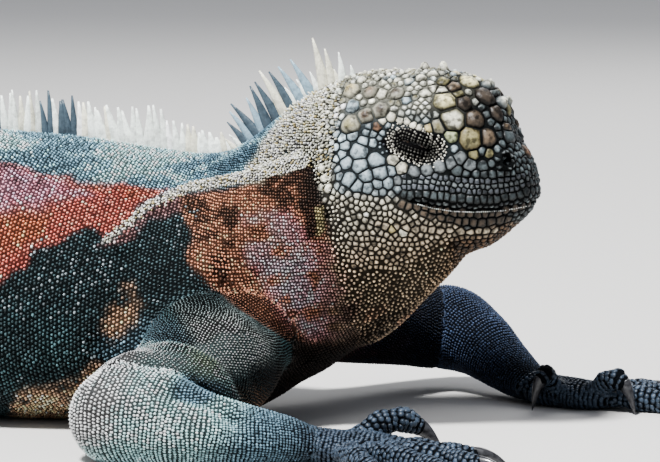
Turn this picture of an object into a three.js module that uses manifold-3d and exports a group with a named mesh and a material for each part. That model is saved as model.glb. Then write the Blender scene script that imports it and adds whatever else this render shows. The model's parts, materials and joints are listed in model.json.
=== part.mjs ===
// A life-size marine iguana at rest: belly, tail and feet on the ground, head raised.
// Millimetres, +X towards the snout, +Y to the animal's left, +Z up.
import * as THREE from 'three';
import Module from 'manifold-3d';
import { mergeVertices } from 'three/addons/utils/BufferGeometryUtils.js';

const wasm = await Module();
wasm.setup();

// Driving dimensions
const gap = 0.3; // clearance between neighbouring pieces
const headTurn = THREE.MathUtils.degToRad(5); // the head looks a little to the left
const headTurnFrom = -5; // along the body axis, where the neck starts to turn
const headTurnTo = 25;
const tailFrom = -250; // where the tail starts to swing
const tailEnd = -715;
const tailSwing = THREE.MathUtils.degToRad(27);
const tailWaves = 0.8;
const eyeRadius = 7;
const eyeCentre = [55.0, 15.4, 93.5];
const backSpineStep = 4.4;
const tailSpineStep = 7.6;

// Cross-sections from the snout to the tip of the tail, in the straightened body. Each row holds
// the top point (along, height), the bottom point (along, height), the half width, the height
// share at which it is widest, and the roundness of its upper and lower half (2 is an ellipse).
const sections = [
  [91.4, 80.5, 91.4, 75.8, 3.0, 0.5, 2.0, 2.0],
  [90.2, 86.4, 90.2, 71.0, 9.0, 0.5, 2.2, 2.2],
  [87.8, 91.2, 87.4, 68.2, 12.2, 0.48, 2.3, 2.2],
  [84.8, 95.6, 84.4, 65.6, 14.4, 0.46, 2.3, 2.2],
  [82.2, 103.6, 80.2, 62.0, 16.6, 0.42, 2.2, 2.2],
  [78.0, 110.0, 76.0, 59.0, 18.6, 0.4, 2.2, 2.2],
  [71.2, 114.2, 71.2, 57.2, 20.4, 0.4, 2.3, 2.2],
  [64.0, 116.2, 67.6, 55.2, 22.0, 0.42, 2.4, 2.1],
  [56.0, 117.0, 63.6, 50.2, 23.4, 0.46, 2.4, 2.0],
  [48.0, 116.2, 58.6, 44.8, 24.8, 0.5, 2.4, 1.95],
  [40.0, 116.0, 53.0, 39.0, 26.2, 0.52, 2.3, 1.9],
  [32.0, 114.6, 46.6, 32.4, 27.2, 0.54, 2.2, 1.9],
  [24.5, 112.0, 39.0, 26.8, 27.4, 0.54, 2.0, 1.9],
  [17.0, 108.4, 30.5, 23.4, 27.4, 0.52, 1.8, 1.9],
  [9.0, 103.2, 21.5, 17.0, 28.6, 0.53, 1.7, 1.9],
  [1.0, 97.0, 13.0, 12.5, 31.5, 0.525, 1.7, 1.9],
  [-6.5, 91.6, 5.0, 7.5, 36.5, 0.49, 1.75, 2.0],
  [-13.0, 88.7, -5.0, 3.0, 41.5, 0.45, 1.8, 2.1],
  [-24.0, 87.8, -21.0, 0.0, 47.0, 0.42, 1.85, 2.3],
  [-40.0, 89.6, -40.0, -1.0, 51.5, 0.4, 1.9, 2.4],
  [-65.0, 92.2, -65.0, -2.0, 56.5, 0.38, 1.9, 2.5],
  [-95.0, 94.0, -95.0, -2.5, 60.0, 0.37, 1.9, 2.6],
  [-125.0, 93.2, -125.0, -2.5, 60.5, 0.37, 1.9, 2.6],
  [-155.0, 89.6, -155.0, -2.5, 57.0, 0.38, 1.9, 2.5],
  [-185.0, 82.6, -185.0, -2.0, 49.0, 0.4, 1.85, 2.4],
  [-210.0, 74.6, -210.0, -1.5, 40.0, 0.42, 1.8, 2.3],
  [-235.0, 64.0, -235.0, -1.0, 30.5, 0.42, 1.8, 2.2],
  [-265.0, 54.0, -265.0, -1.0, 22.5, 0.42, 1.8, 2.2],
  [-300.0, 46.0, -300.0, -1.0, 17.2, 0.42, 1.8, 2.1],
  [-350.0, 39.4, -350.0, -0.8, 13.0, 0.42, 1.75, 2.1],
  [-420.0, 32.6, -420.0, -0.7, 10.0, 0.42, 1.7, 2.1],
  [-500.0, 25.6, -500.0, -0.6, 7.4, 0.42, 1.7, 2.1],
  [-580.0, 18.8, -580.0, -0.5, 5.4, 0.42, 1.7, 2.1],
  [-650.0, 12.6, -650.0, -0.4, 3.8, 0.42, 1.8, 2.1],
  [-700.0, 7.2, -700.0, -0.3, 2.5, 0.42, 2.0, 2.1],
  [tailEnd, 4.2, tailEnd, -0.2, 1.4, 0.45, 2.0, 2.0],
];

// Tall spines of the nape: place along the body, length, and degrees back from upright
const napeSpines = [
  [27.2, 9.4, 1], [22.3, 12, 5], [19.8, 16.8, 9], [16.5, 13.6, 27], [13.2, 13.8, 29], [9.8, 14.2, 30],
  [7.3, 16.3, 27], [4.8, 14.4, 28], [1.6, 14.6, 21], [-0.4, 12.2, 23], [-2.0, 13.8, 39], [-4.2, 11.9, 36],
  [-6.1, 9.5, 37], [-10.0, 5.6, 38],
];

// Rows of the table above at which the body is parted
const rows = {
  snout: 0,
  dewlapFront: 7,
  nape: 12,
  neckBase: 17,
  midTrunk: 21.5,
  vent: 26,
  tailMid: 28.6,
  tailRear: 30.4,
  tailPoint: 32,
  tailTip: 35,
};

// Swellings and hollows of the head and shoulders: place, spread and push, mirrored left to right
const reliefs = [
  { at: [57, 20, 105], spread: [14, 8, 5], push: [0, 2.2, 0.6] }, // brow
  { at: [56, 21, 94], spread: [11, 8, 7.5], push: [0, -2.4, 0] }, // eye socket
  { at: [83, 13, 89], spread: [5, 6, 5], push: [0, 1.6, 0] }, // nostril
  { at: [73, 18, 85], spread: [7, 7, 6], push: [0, -1.4, 0] }, // hollow before the eye
  { at: [37, 27, 79], spread: [12, 10, 12], push: [0, 2.4, 0] }, // jaw muscle
  { at: [66, 19, 66], spread: [14, 8, 6], push: [0, -1.2, 0] }, // below the lip
  { at: [25, 27, 88], spread: [8, 8, 8], push: [0, -2.0, 0] }, // behind the ear
];

// The mouth line, from its corner to past the snout, and the outline of the hanging throat
const mouthLine = [[51.5, 75.2], [62, 73.6], [74, 72.9], [83, 73], [90, 73.8], [100, 75.5]];
const jawUnderside = [[100, 40], [69.5, 40], [67.5, 56.9], [55, 62], [50, 70]];
const dewlapOutline = [
  [67.2, 56.6], [55, 61.6], [40, 60], [24, 51], [9, 40], [4, 28], [4, 0], [90, 0], [90, 38], [69.4, 40],
];

function flesh(color, roughness = 0.85) {
  return new THREE.MeshStandardMaterial({ color, roughness, metalness: 0 });
}

const materials = {
  head: flesh(0x8f9387),
  jaw: flesh(0x4a4640),
  neck: flesh(0x8a6a5c),
  dewlap: flesh(0x8a5a52),
  trunk: flesh(0x3c4648),
  tail: flesh(0x35393a),
  leg: flesh(0x56696c),
  hand: flesh(0x2c333a),
  claw: flesh(0x1d1f22, 0.4),
  eye: flesh(0x15110e, 0.15),
};

// A value between rows of a table, on a smooth curve through them
function smoothRow(table, row, column) {
  const i = Math.min(Math.floor(row), table.length - 2);
  const t = row - i;
  const at = (k) => table[THREE.MathUtils.clamp(k, 0, table.length - 1)][column];
  const [a, b, c, d] = [i - 1, i, i + 1, i + 2].map(at);
  return b + 0.5 * t * (c - a + t * (2 * a - 5 * b + 4 * c - d + t * (3 * (b - c) + d - a)));
}

function signedPower(value, power) {
  return Math.sign(value) * Math.abs(value) ** power;
}

// One closed ring of the straightened body, counted from the top round the left side
function bodyRing(row, sides, grow) {
  const section = sections[0].map((_, column) => smoothRow(sections, row, column));
  const [topX, topZ, lowX, lowZ, width, waist, upper, lower] = section;
  const low = new THREE.Vector3(lowX, 0, lowZ);
  const rise = new THREE.Vector3(topX, 0, topZ).sub(low);
  const height = rise.length();
  const centre = low.clone().addScaledVector(rise, waist);
  const upward = rise.clone().normalize();
  const ring = [];
  for (let j = 0; j < sides; j++) {
    const angle = (2 * Math.PI * (j + 0.5)) / sides;
    const above = Math.cos(angle) > 0;
    const power = 2 / (above ? upper : lower);
    const reach = height * (above ? 1 - waist : waist) + grow;
    const point = centre.clone().addScaledVector(upward, signedPower(Math.cos(angle), power) * reach);
    point.y = signedPower(Math.sin(angle), power) * (width + grow);
    ring.push(swell(point));
  }
  return ring;
}

function swell(point) {
  const side = Math.sign(point.y);
  const moved = point.clone();
  for (const { at, spread, push } of reliefs) {
    const folded = [point.x, Math.abs(point.y), point.z];
    const away = folded.reduce((sum, value, axis) => sum + ((value - at[axis]) / spread[axis]) ** 2, 0);
    const share = Math.exp(-away);
    moved.x += push[0] * share;
    moved.y += side * push[1] * share;
    moved.z += push[2] * share;
  }
  return moved;
}

// A closed surface through rings of equal count, capped at both ends, resting on the ground
function closedLoft(rings) {
  const sides = rings[0].length;
  const points = rings.flat().map((p) => p.clone());
  const faces = [];
  for (let i = 0; i < rings.length - 1; i++) {
    for (let j = 0; j < sides; j++) {
      const a = i * sides + j;
      const b = i * sides + ((j + 1) % sides);
      faces.push(a, b, b + sides, a, b + sides, a + sides);
    }
  }
  const ends = [
    [rings[0], 0, true],
    [rings.at(-1), (rings.length - 1) * sides, false],
  ];
  for (const [ring, first, flip] of ends) {
    const middle = points.length;
    points.push(ring.reduce((sum, p) => sum.add(p), new THREE.Vector3()).divideScalar(sides));
    for (let j = 0; j < sides; j++) {
      const pair = [first + j, first + ((j + 1) % sides)];
      faces.push(...(flip ? [pair[1], pair[0]] : pair), middle);
    }
  }
  const geometry = new THREE.BufferGeometry().setFromPoints(points.map((p) => p.setZ(Math.max(p.z, 0))));
  geometry.setIndex(faces);
  return geometry;
}

function toSolid(geometry) {
  const bare = new THREE.BufferGeometry();
  bare.setAttribute('position', geometry.attributes.position);
  bare.setIndex(geometry.index);
  const merged = mergeVertices(bare, 1e-3);
  const vertProperties = new Float32Array(merged.attributes.position.array);
  const triVerts = new Uint32Array(merged.index.array);
  const solid = new wasm.Manifold(new wasm.Mesh({ numProp: 3, vertProperties, triVerts }));
  if (solid.volume() > 0) return solid;
  return new wasm.Manifold(new wasm.Mesh({ numProp: 3, vertProperties, triVerts: triVerts.reverse() }));
}

function toGeometry(solid) {
  const mesh = solid.getMesh();
  const geometry = new THREE.BufferGeometry();
  geometry.setAttribute('position', new THREE.BufferAttribute(new Float32Array(mesh.vertProperties), 3));
  geometry.setIndex(new THREE.BufferAttribute(new Uint32Array(mesh.triVerts), 1));
  return geometry;
}

// A length of the straightened body between two rows, its end faces set back by half a gap
function bodyLength(from, to, steps, sides, grow = 0) {
  const rings = [];
  for (let i = 0; i <= steps; i++) {
    rings.push(bodyRing(from + ((to - from) * i) / steps, sides, grow));
  }
  const setBack = grow > 0 ? 0 : gap / 2;
  const slid = (ring, distance) => ring.map((p) => p.clone().add(new THREE.Vector3(distance, 0, 0)));
  if (from > rows.snout) rings[0] = slid(rings[0], -setBack);
  if (to < rows.tailTip) rings[steps] = slid(rings[steps], setBack);
  return toSolid(bendGeometry(closedLoft(rings)));
}

// A flat outline in the head's plane of symmetry, widened to both sides, and the same grown by the gap
function sideWedge(outline, shiftX = 0, shiftZ = 0) {
  const shape = new THREE.Shape(outline.map(([x, z]) => new THREE.Vector2(x + shiftX, z + shiftZ)));
  const geometry = new THREE.ExtrudeGeometry(shape, { depth: 160, bevelEnabled: false });
  geometry.translate(0, 0, -80).rotateX(Math.PI / 2);
  return toSolid(turnWithHead(geometry));
}

function clearedWedge(outline) {
  const shifts = [0, 1, 2, 3, 4, 5, 6, 7].map((k) => (k * Math.PI) / 4);
  return joined(shifts.map((angle) => sideWedge(outline, gap * Math.cos(angle), gap * Math.sin(angle))));
}

// The body's track over the ground from above: straight at the trunk, turned at the head and tail
function headingAt(along) {
  if (along > headTurnFrom) return headTurn * THREE.MathUtils.smoothstep(along, headTurnFrom, headTurnTo);
  if (along > tailFrom) return 0;
  const share = (tailFrom - along) / (tailFrom - tailEnd);
  return tailSwing * Math.sin(2 * Math.PI * tailWaves * share) * THREE.MathUtils.smoothstep(share, 0, 0.2);
}

function trackPoint(along) {
  const step = along >= 0 ? 1 : -1;
  const place = new THREE.Vector2(0, 0);
  for (let done = 0; done < Math.abs(along); done++) {
    const piece = Math.min(1, Math.abs(along) - done) * step;
    const heading = headingAt((done + 0.5) * step);
    place.x += Math.cos(heading) * piece;
    place.y += Math.sin(heading) * piece;
  }
  return place;
}

// Past the neck the track is straight again, so the head's own pieces are only turned and moved
function turnWithHead(geometry) {
  const reach = 60;
  const place = trackPoint(reach);
  return geometry.translate(-reach, 0, 0).rotateZ(headTurn).translate(place.x, place.y, 0);
}

function bendGeometry(geometry) {
  const position = geometry.attributes.position;
  for (let i = 0; i < position.count; i++) {
    const along = position.getX(i);
    const aside = position.getY(i);
    const heading = headingAt(along);
    const place = trackPoint(along);
    position.setXY(i, place.x - Math.sin(heading) * aside, place.y + Math.cos(heading) * aside);
  }
  return geometry;
}

// How high the top of the straightened body lies at a place along it
function topOf(along) {
  let row = 0;
  while (row < rows.tailTip - 0.01 && smoothRow(sections, row, 0) > along) {
    row += 0.01;
  }
  return smoothRow(sections, row, 1);
}

// The tall spines of the nape between two places along the body, each sunk into the skin
function napeCrest(front, back) {
  const chosen = napeSpines.filter(([along]) => along < front && along > back);
  return chosen.map(([along, length, tilt]) => {
    const sunk = 2.5;
    const cone = new THREE.ConeGeometry(1.9, length + sunk, 4);
    cone.scale(1, 1, 0.6).translate(0, (length + sunk) / 2 - sunk, 0).rotateX(Math.PI / 2);
    cone.rotateY(-THREE.MathUtils.degToRad(tilt)).translate(along, 0, topOf(along));
    return toSolid(bendGeometry(cone));
  });
}

// A comb of spines along the back or tail, thinner towards the tips
function comb(from, to, step, tallFrom, tallTo) {
  const count = Math.round((from - to) / step);
  const outline = new THREE.Shape();
  const sink = 3;
  const teeth = [];
  for (let i = 0; i <= count; i++) {
    const share = i / count;
    const along = from + (to - from) * share;
    const tall = tallFrom + (tallTo - tallFrom) * share;
    const wave = 1 + 0.08 * Math.sin(i * 2.3);
    teeth.push({ along, foot: topOf(along), tall: tall * wave });
  }
  outline.moveTo(teeth[0].along, teeth[0].foot - sink);
  for (const { along, foot, tall } of teeth) {
    outline.lineTo(along + step * 0.1, foot + 0.4);
    outline.lineTo(along - step * 0.55, foot + tall);
  }
  const sunk = (tooth) => tooth.foot - Math.min(sink, tooth.foot / 2);
  outline.lineTo(teeth.at(-1).along - step * 0.8, sunk(teeth.at(-1)));
  for (const tooth of teeth.filter((_, i) => i % 4 === 2).reverse()) {
    outline.lineTo(tooth.along, sunk(tooth));
  }
  const thick = 2;
  const geometry = new THREE.ExtrudeGeometry(outline, { depth: thick, bevelEnabled: false });
  geometry.translate(0, 0, -thick / 2).rotateX(Math.PI / 2);
  return toSolid(bendGeometry(geometry));
}

// A limb or digit: each point holds x, y, z, the half width sideways and the half thickness
function limbLoft(points, steps, sides, grow = 0) {
  const joints = points.map(([x, y, z]) => new THREE.Vector3(x, y, z));
  const path = new THREE.CatmullRomCurve3(joints, false, 'centripetal');
  const rings = [];
  const up = new THREE.Vector3(0, 0, 1);
  for (let i = 0; i <= steps; i++) {
    const t = i / steps;
    const row = t * (points.length - 1);
    const centre = path.getPoint(t);
    const along = path.getTangent(t);
    const side = new THREE.Vector3().crossVectors(up, along).normalize();
    const top = new THREE.Vector3().crossVectors(along, side);
    const wide = smoothRow(points, row, 3) + grow;
    const thick = smoothRow(points, row, 4) + grow;
    if (i === 0) centre.addScaledVector(along, -grow);
    if (i === steps) centre.addScaledVector(along, grow);
    const ring = [];
    for (let j = 0; j < sides; j++) {
      const angle = (2 * Math.PI * (j + 0.5)) / sides;
      const aside = centre.clone().addScaledVector(side, Math.cos(angle) * wide);
      ring.push(aside.addScaledVector(top, Math.sin(angle) * thick));
    }
    rings.push(ring);
  }
  return toSolid(closedLoft(rings));
}

// The legs, in the frame of the trunk: upper and lower leg, the sole, and each digit from the sole to
// the root of its claw and on to the tip of that claw
const rightForeleg = {
  upper: [
    [3, -20, 33, 16, 16], [1, -40, 25, 19.5, 19.5], [0, -57, 23, 19.5, 18.5],
    [-4, -73, 20, 18.5, 15], [-9, -87, 17, 16, 15], [-13, -97, 15, 9, 9],
  ],
  lower: [
    [-22, -88, 13.6, 9, 9.5], [-13, -94, 12.8, 14, 14], [6, -94.5, 11.6, 13.5, 12.8],
    [24, -88.5, 9.4, 12, 10.5], [38, -80.5, 7, 10, 7.9], [46, -76, 5.2, 9, 5.9],
  ],
  sole: [
    [46.3, -75.8, 5.1, 9, 5.8], [54, -73, 4.5, 10.5, 5.4], [62, -71, 4.2, 11.5, 5.2],
    [69, -69.5, 3.8, 10.5, 4.7], [73, -69, 3.6, 8, 4.2],
  ],
  digits: [
    [[56, -67, 6], [62, -61, 10.5], [68, -57, 11.4], [73, -54.5, 8.8], [79.5, -52, 0.2]],
    [[65, -70.5, 3.9], [77, -70, 4.3], [88, -69, 3.4], [95.5, -68, 3.6], [105, -66, 0.2]],
    [[66, -75, 3.9], [82, -79, 4.3], [94, -82, 3.4], [102, -84, 3.6], [112, -86, 0.2]],
    [[63, -78.5, 3.9], [78, -88, 4.3], [89, -95, 3.4], [96, -100, 3.6], [104, -106, 0.2]],
    [[57, -79.5, 3.9], [65, -91, 4.3], [71, -99, 3.4], [75, -104, 3.6], [80.5, -111, 0.2]],
  ],
};
const leftForeleg = {
  upper: [
    [6, 20, 34, 16, 16], [7, 42, 31, 16, 17.5], [17, 66, 25, 15, 15],
    [27, 85, 21.5, 13, 13.5], [34, 95, 20, 7, 7],
  ],
  lower: [
    [26, 96, 20, 7, 8], [35, 91.5, 21, 12.5, 13.5], [48, 82, 17, 12, 12.4],
    [60, 75, 10.4, 10.4, 9], [68, 69.5, 6.8, 9.4, 6.9], [75.5, 64.3, 5.2, 9, 5.9],
  ],
  sole: [
    [75.8, 64.1, 5.1, 9, 5.8], [84, 62.5, 4.5, 10.5, 5.4], [92, 61.8, 4.2, 11.5, 5.2],
    [98, 61.6, 3.8, 10.5, 4.7], [102, 61.6, 3.6, 8, 4.2],
  ],
  digits: [
    [[83, 58, 5.4], [82, 53.5, 9.4], [81, 50.5, 11], [80, 48.5, 9.8], [78, 46, 0.2]],
    [[94, 57, 5], [101, 54, 9.2], [105.5, 52.5, 10.8], [108.5, 51.5, 9.6], [112.5, 50, 0.2]],
    [[99, 60, 3.9], [112, 58, 4.3], [122, 57, 3.4], [129, 56, 3.6], [138.5, 55, 0.2]],
    [[98, 65, 3.9], [112, 68, 4.3], [123, 71, 3.4], [131, 73.5, 3.6], [140.5, 76.5, 0.2]],
    [[91, 69, 3.9], [99, 77, 4.3], [105, 84, 3.4], [109, 89, 3.6], [114.5, 96, 0.2]],
  ],
};
const rightHindleg = {
  upper: [
    [-214, -16, 46, 18, 18], [-208, -36, 44, 18.5, 19], [-192, -60, 41, 16.5, 17],
    [-178, -78, 37.5, 14, 15], [-170, -88, 34.5, 8, 9],
  ],
  lower: [
    [-164, -84, 36, 8, 9], [-172, -88.5, 35, 13.5, 14], [-190, -96, 28, 12.5, 12.5],
    [-208, -103, 18, 9.6, 9.6], [-219, -107.5, 10.5, 8.2, 8.4], [-226, -110, 6.4, 5, 6.4],
  ],
  sole: [
    [-231, -108, 5.6, 5, 6], [-222, -110, 5.7, 9.5, 6.8], [-208, -114, 4.8, 10.5, 5.8],
    [-195, -118, 4.3, 11.5, 5.3], [-187, -120, 3.8, 10.5, 4.8], [-182, -121, 3.6, 8, 4.2],
  ],
  digits: [
    [[-200, -111, 4.6], [-190, -106, 5.4], [-182, -103.5, 5], [-176, -102, 4.4], [-167, -99, 0.2]],
    [[-192, -114.5, 3.9], [-174, -111, 4.3], [-164, -109, 3.4], [-157, -108, 3.6], [-147, -106, 0.2]],
    [[-190, -118, 3.9], [-166, -118, 4.3], [-152, -118, 3.4], [-144, -118, 3.6], [-133, -118, 0.2]],
    [[-190, -122, 3.9], [-162, -128, 4.3], [-144, -133, 3.4], [-134, -136, 3.6], [-123, -139, 0.2]],
    [[-206, -119, 3.9], [-195, -130, 4.3], [-187, -138, 3.4], [-182, -143, 3.6], [-175, -150, 0.2]],
  ],
};
const leftHindShift = -7;

function mirrored(leg) {
  const flip = ([x, y, ...rest]) => [x + leftHindShift * Math.min(1, Math.abs(y) / 60), -y, ...rest];
  return {
    upper: leg.upper.map(flip),
    lower: leg.lower.map(flip),
    sole: leg.sole.map(flip),
    digits: leg.digits.map((points) => points.map(flip)),
  };
}

const iguana = new THREE.Group();

function place(name, solid, material) {
  const mesh = new THREE.Mesh(toGeometry(solid), material);
  mesh.name = name;
  iguana.add(mesh);
}

const joined = (solids) => solids.reduce((sum, s) => sum.add(s));

function addHead() {
  const shell = bodyLength(rows.snout, rows.nape, 12, 20);
  const jawOutline = [...mouthLine, ...jawUnderside];
  const throatCut = clearedWedge(dewlapOutline);
  const ball = (radius, side) => {
    const sphere = new THREE.SphereGeometry(radius, 10, 8);
    return toSolid(turnWithHead(sphere.translate(eyeCentre[0], side * eyeCentre[1], eyeCentre[2])));
  };
  const sockets = ball(eyeRadius + gap, 1).add(ball(eyeRadius + gap, -1));
  const head = shell.subtract(clearedWedge(jawOutline)).subtract(throatCut).subtract(sockets);
  const jaw = shell.intersect(sideWedge(jawOutline)).subtract(throatCut);
  place('head', biggest(joined([head, ...napeCrest(100, 24.5)])), materials.head);
  place('jaw', biggest(jaw), materials.jaw);
  place('eye_left', ball(eyeRadius, 1), materials.eye);
  place('eye_right', ball(eyeRadius, -1), materials.eye);
}

function biggest(solid) {
  return solid.decompose().sort((a, b) => b.volume() - a.volume())[0];
}

function addNeckAndDewlap() {
  const neck = bodyLength(rows.nape, rows.neckBase, 5, 18).subtract(clearedWedge(dewlapOutline));
  place('neck', biggest(joined([neck, ...napeCrest(24.5, -100)])), materials.neck);
  const bag = bodyLength(rows.dewlapFront - 1, rows.neckBase, 10, 18).intersect(sideWedge(dewlapOutline));
  place('dewlap', biggest(bag), materials.dewlap);
}

function addTrunkAndTail() {
  const lengths = [
    ['trunk_front', rows.neckBase, rows.midTrunk, 5, 18, backSpineStep, 11.5, 12.4, materials.trunk],
    ['trunk_rear', rows.midTrunk, rows.vent, 5, 18, backSpineStep, 12.4, 10, materials.trunk],
    ['tail_base', rows.vent, rows.tailMid, 5, 12, tailSpineStep, 9.5, 8.4, materials.tail],
    ['tail_mid', rows.tailMid, rows.tailRear, 5, 12, tailSpineStep, 8.4, 6.6, materials.tail],
    ['tail_rear', rows.tailRear, rows.tailPoint, 6, 12, tailSpineStep, 6.6, 4.6, materials.tail],
    ['tail_tip', rows.tailPoint, rows.tailTip, 8, 10, tailSpineStep, 4.6, 1.6, materials.tail],
  ];
  for (const [name, from, to, steps, sides, spineStep, tallFrom, tallTo, material] of lengths) {
    const crestFrom = smoothRow(sections, from, 0) - 1 - spineStep * 0.1 - (from === rows.neckBase ? 1 : 0);
    const crestTo = smoothRow(sections, to, 0) + spineStep + 0.5 + (to === rows.tailTip ? 16 : 0);
    const crest = comb(crestFrom, crestTo, spineStep, tallFrom, tallTo);
    const crested = joined([bodyLength(from, to, steps, sides), crest]);
    place(name, biggest(crested), material);
  }
}

// The flesh of one digit, and its claw, cut back to leave a gap beyond the digit's end
function digit(points, thick, grow = 0) {
  const size = [thick, thick * 1.02, thick * 0.92, thick * 0.7];
  const bone = points.slice(0, 4).map((p, i) => [...p, size[i], size[i]]);
  return limbLoft(bone, 3, 6, grow);
}

function claw(points, thick) {
  const root = new THREE.Vector3(...points[3]);
  const tip = new THREE.Vector3(...points[4]);
  const bow = root.clone().lerp(tip, 0.45).add(new THREE.Vector3(0, 0, 2.2));
  const widths = [thick * 0.64, thick * 0.44, 0.35];
  const rings = [root, bow, tip].map((p, i) => [p.x, p.y, p.z, widths[i], widths[i] * 1.15]);
  return biggest(limbLoft(rings, 3, 4).subtract(digit(points, thick, gap)));
}

function addLeg(leg, names, side, clear) {
  const upper = limbLoft(leg.upper, 5, 10);
  const upperGrown = limbLoft(leg.upper, 5, 10, gap);
  const lower = limbLoft(leg.lower, 6, 10);
  const lowerGrown = limbLoft(leg.lower, 6, 10, gap);
  place(names.upper + side, biggest(upper.subtract(clear)), materials.leg);
  place(names.lower + side, biggest(lower.subtract(upperGrown).subtract(clear)), materials.leg);
  const sizes = [3.9, 3.9, 4, 4, 3.7];
  const sole = limbLoft(leg.sole, 4, 8);
  const digits = leg.digits.map((points, i) => digit(points, sizes[i]));
  place(names.foot + side, biggest(joined([sole, ...digits]).subtract(lowerGrown)), materials.hand);
  leg.digits.forEach((points, i) => {
    place(names.claw + side + '_' + (i + 1), claw(points, sizes[i]), materials.claw);
  });
}

addHead();
addNeckAndDewlap();
addTrunkAndTail();
const clearance = gap + 0.1;
const bodyPieces = joined([
  bodyLength(rows.nape, rows.neckBase, 5, 18, clearance),
  bodyLength(rows.dewlapFront - 1, rows.neckBase, 10, 18, clearance),
  bodyLength(rows.neckBase, rows.midTrunk, 5, 18, clearance),
  bodyLength(rows.midTrunk, rows.vent, 5, 18, clearance),
  bodyLength(rows.vent, rows.tailMid, 5, 12, clearance),
]);
const bodyClear = biggest(bodyPieces);
const foreNames = { upper: 'foreleg_upper_', lower: 'foreleg_lower_', foot: 'hand_', claw: 'hand_claw_' };
const hindNames = { upper: 'hindleg_upper_', lower: 'hindleg_lower_', foot: 'foot_', claw: 'foot_claw_' };
addLeg(rightForeleg, foreNames, 'right', bodyClear);
addLeg(leftForeleg, foreNames, 'left', bodyClear);
addLeg(rightHindleg, hindNames, 'right', bodyClear);
addLeg(mirrored(rightHindleg), hindNames, 'left', bodyClear);

// The origin is on the ground, under the middle of the whole animal
const extent = new THREE.Box3().setFromObject(iguana);
const middle = extent.getCenter(new THREE.Vector3());
for (const mesh of iguana.children) {
  mesh.geometry.translate(-middle.x, -middle.y, -extent.min.z);
  mesh.geometry = toGeometry(biggest(toSolid(mesh.geometry)));
}

export default iguana;
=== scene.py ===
# A life-size marine iguana at rest, belly on the ground and head raised.
# Sizes are millimetres in the animal's own frame until bend() turns them into the scene's metres.
import json
import math
import bpy
import numpy as np
from mathutils import Matrix, Vector
from mathutils.bvhtree import BVHTree
from mathutils.kdtree import KDTree

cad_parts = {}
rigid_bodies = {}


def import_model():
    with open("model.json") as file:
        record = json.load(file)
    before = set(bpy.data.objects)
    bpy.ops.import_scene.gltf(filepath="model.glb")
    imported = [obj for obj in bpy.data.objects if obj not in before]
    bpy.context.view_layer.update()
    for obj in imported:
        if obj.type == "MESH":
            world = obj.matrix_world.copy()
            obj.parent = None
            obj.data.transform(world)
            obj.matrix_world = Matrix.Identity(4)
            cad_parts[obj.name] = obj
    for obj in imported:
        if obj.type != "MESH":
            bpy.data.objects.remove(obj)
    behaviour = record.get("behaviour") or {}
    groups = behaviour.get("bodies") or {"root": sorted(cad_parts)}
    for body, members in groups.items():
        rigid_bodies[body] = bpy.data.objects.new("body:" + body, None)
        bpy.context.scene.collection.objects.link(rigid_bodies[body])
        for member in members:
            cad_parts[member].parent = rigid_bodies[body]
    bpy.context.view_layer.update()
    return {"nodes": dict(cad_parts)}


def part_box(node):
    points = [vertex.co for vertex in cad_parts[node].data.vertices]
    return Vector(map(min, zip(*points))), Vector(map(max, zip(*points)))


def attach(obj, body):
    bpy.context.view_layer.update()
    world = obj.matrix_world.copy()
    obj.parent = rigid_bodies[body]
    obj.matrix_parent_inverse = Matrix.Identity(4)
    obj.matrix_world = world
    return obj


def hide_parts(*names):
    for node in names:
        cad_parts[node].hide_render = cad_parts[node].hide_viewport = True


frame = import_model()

mm = 0.001
print("frame loaded")


# The body

body = {
    "headTurn": 5.0,  # degrees to the left
    "turnFrom": -5.0,
    "turnTo": 25.0,
    "tailFrom": -250.0,
    "tailEnd": -715.0,
    "tailSwing": 27.0,
    "tailWaves": 0.8,
    "eyeX": 55.0,
    "eyeY": 15.4,
    "eyeRadius": 7.0,
    "headCoat": 1.1,  # how far the skin lies inside the animal's outline
    "bodyCoat": 0.7,
    "soleCoat": 0.5,
    "digitCoat": 0.35,
}

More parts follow.
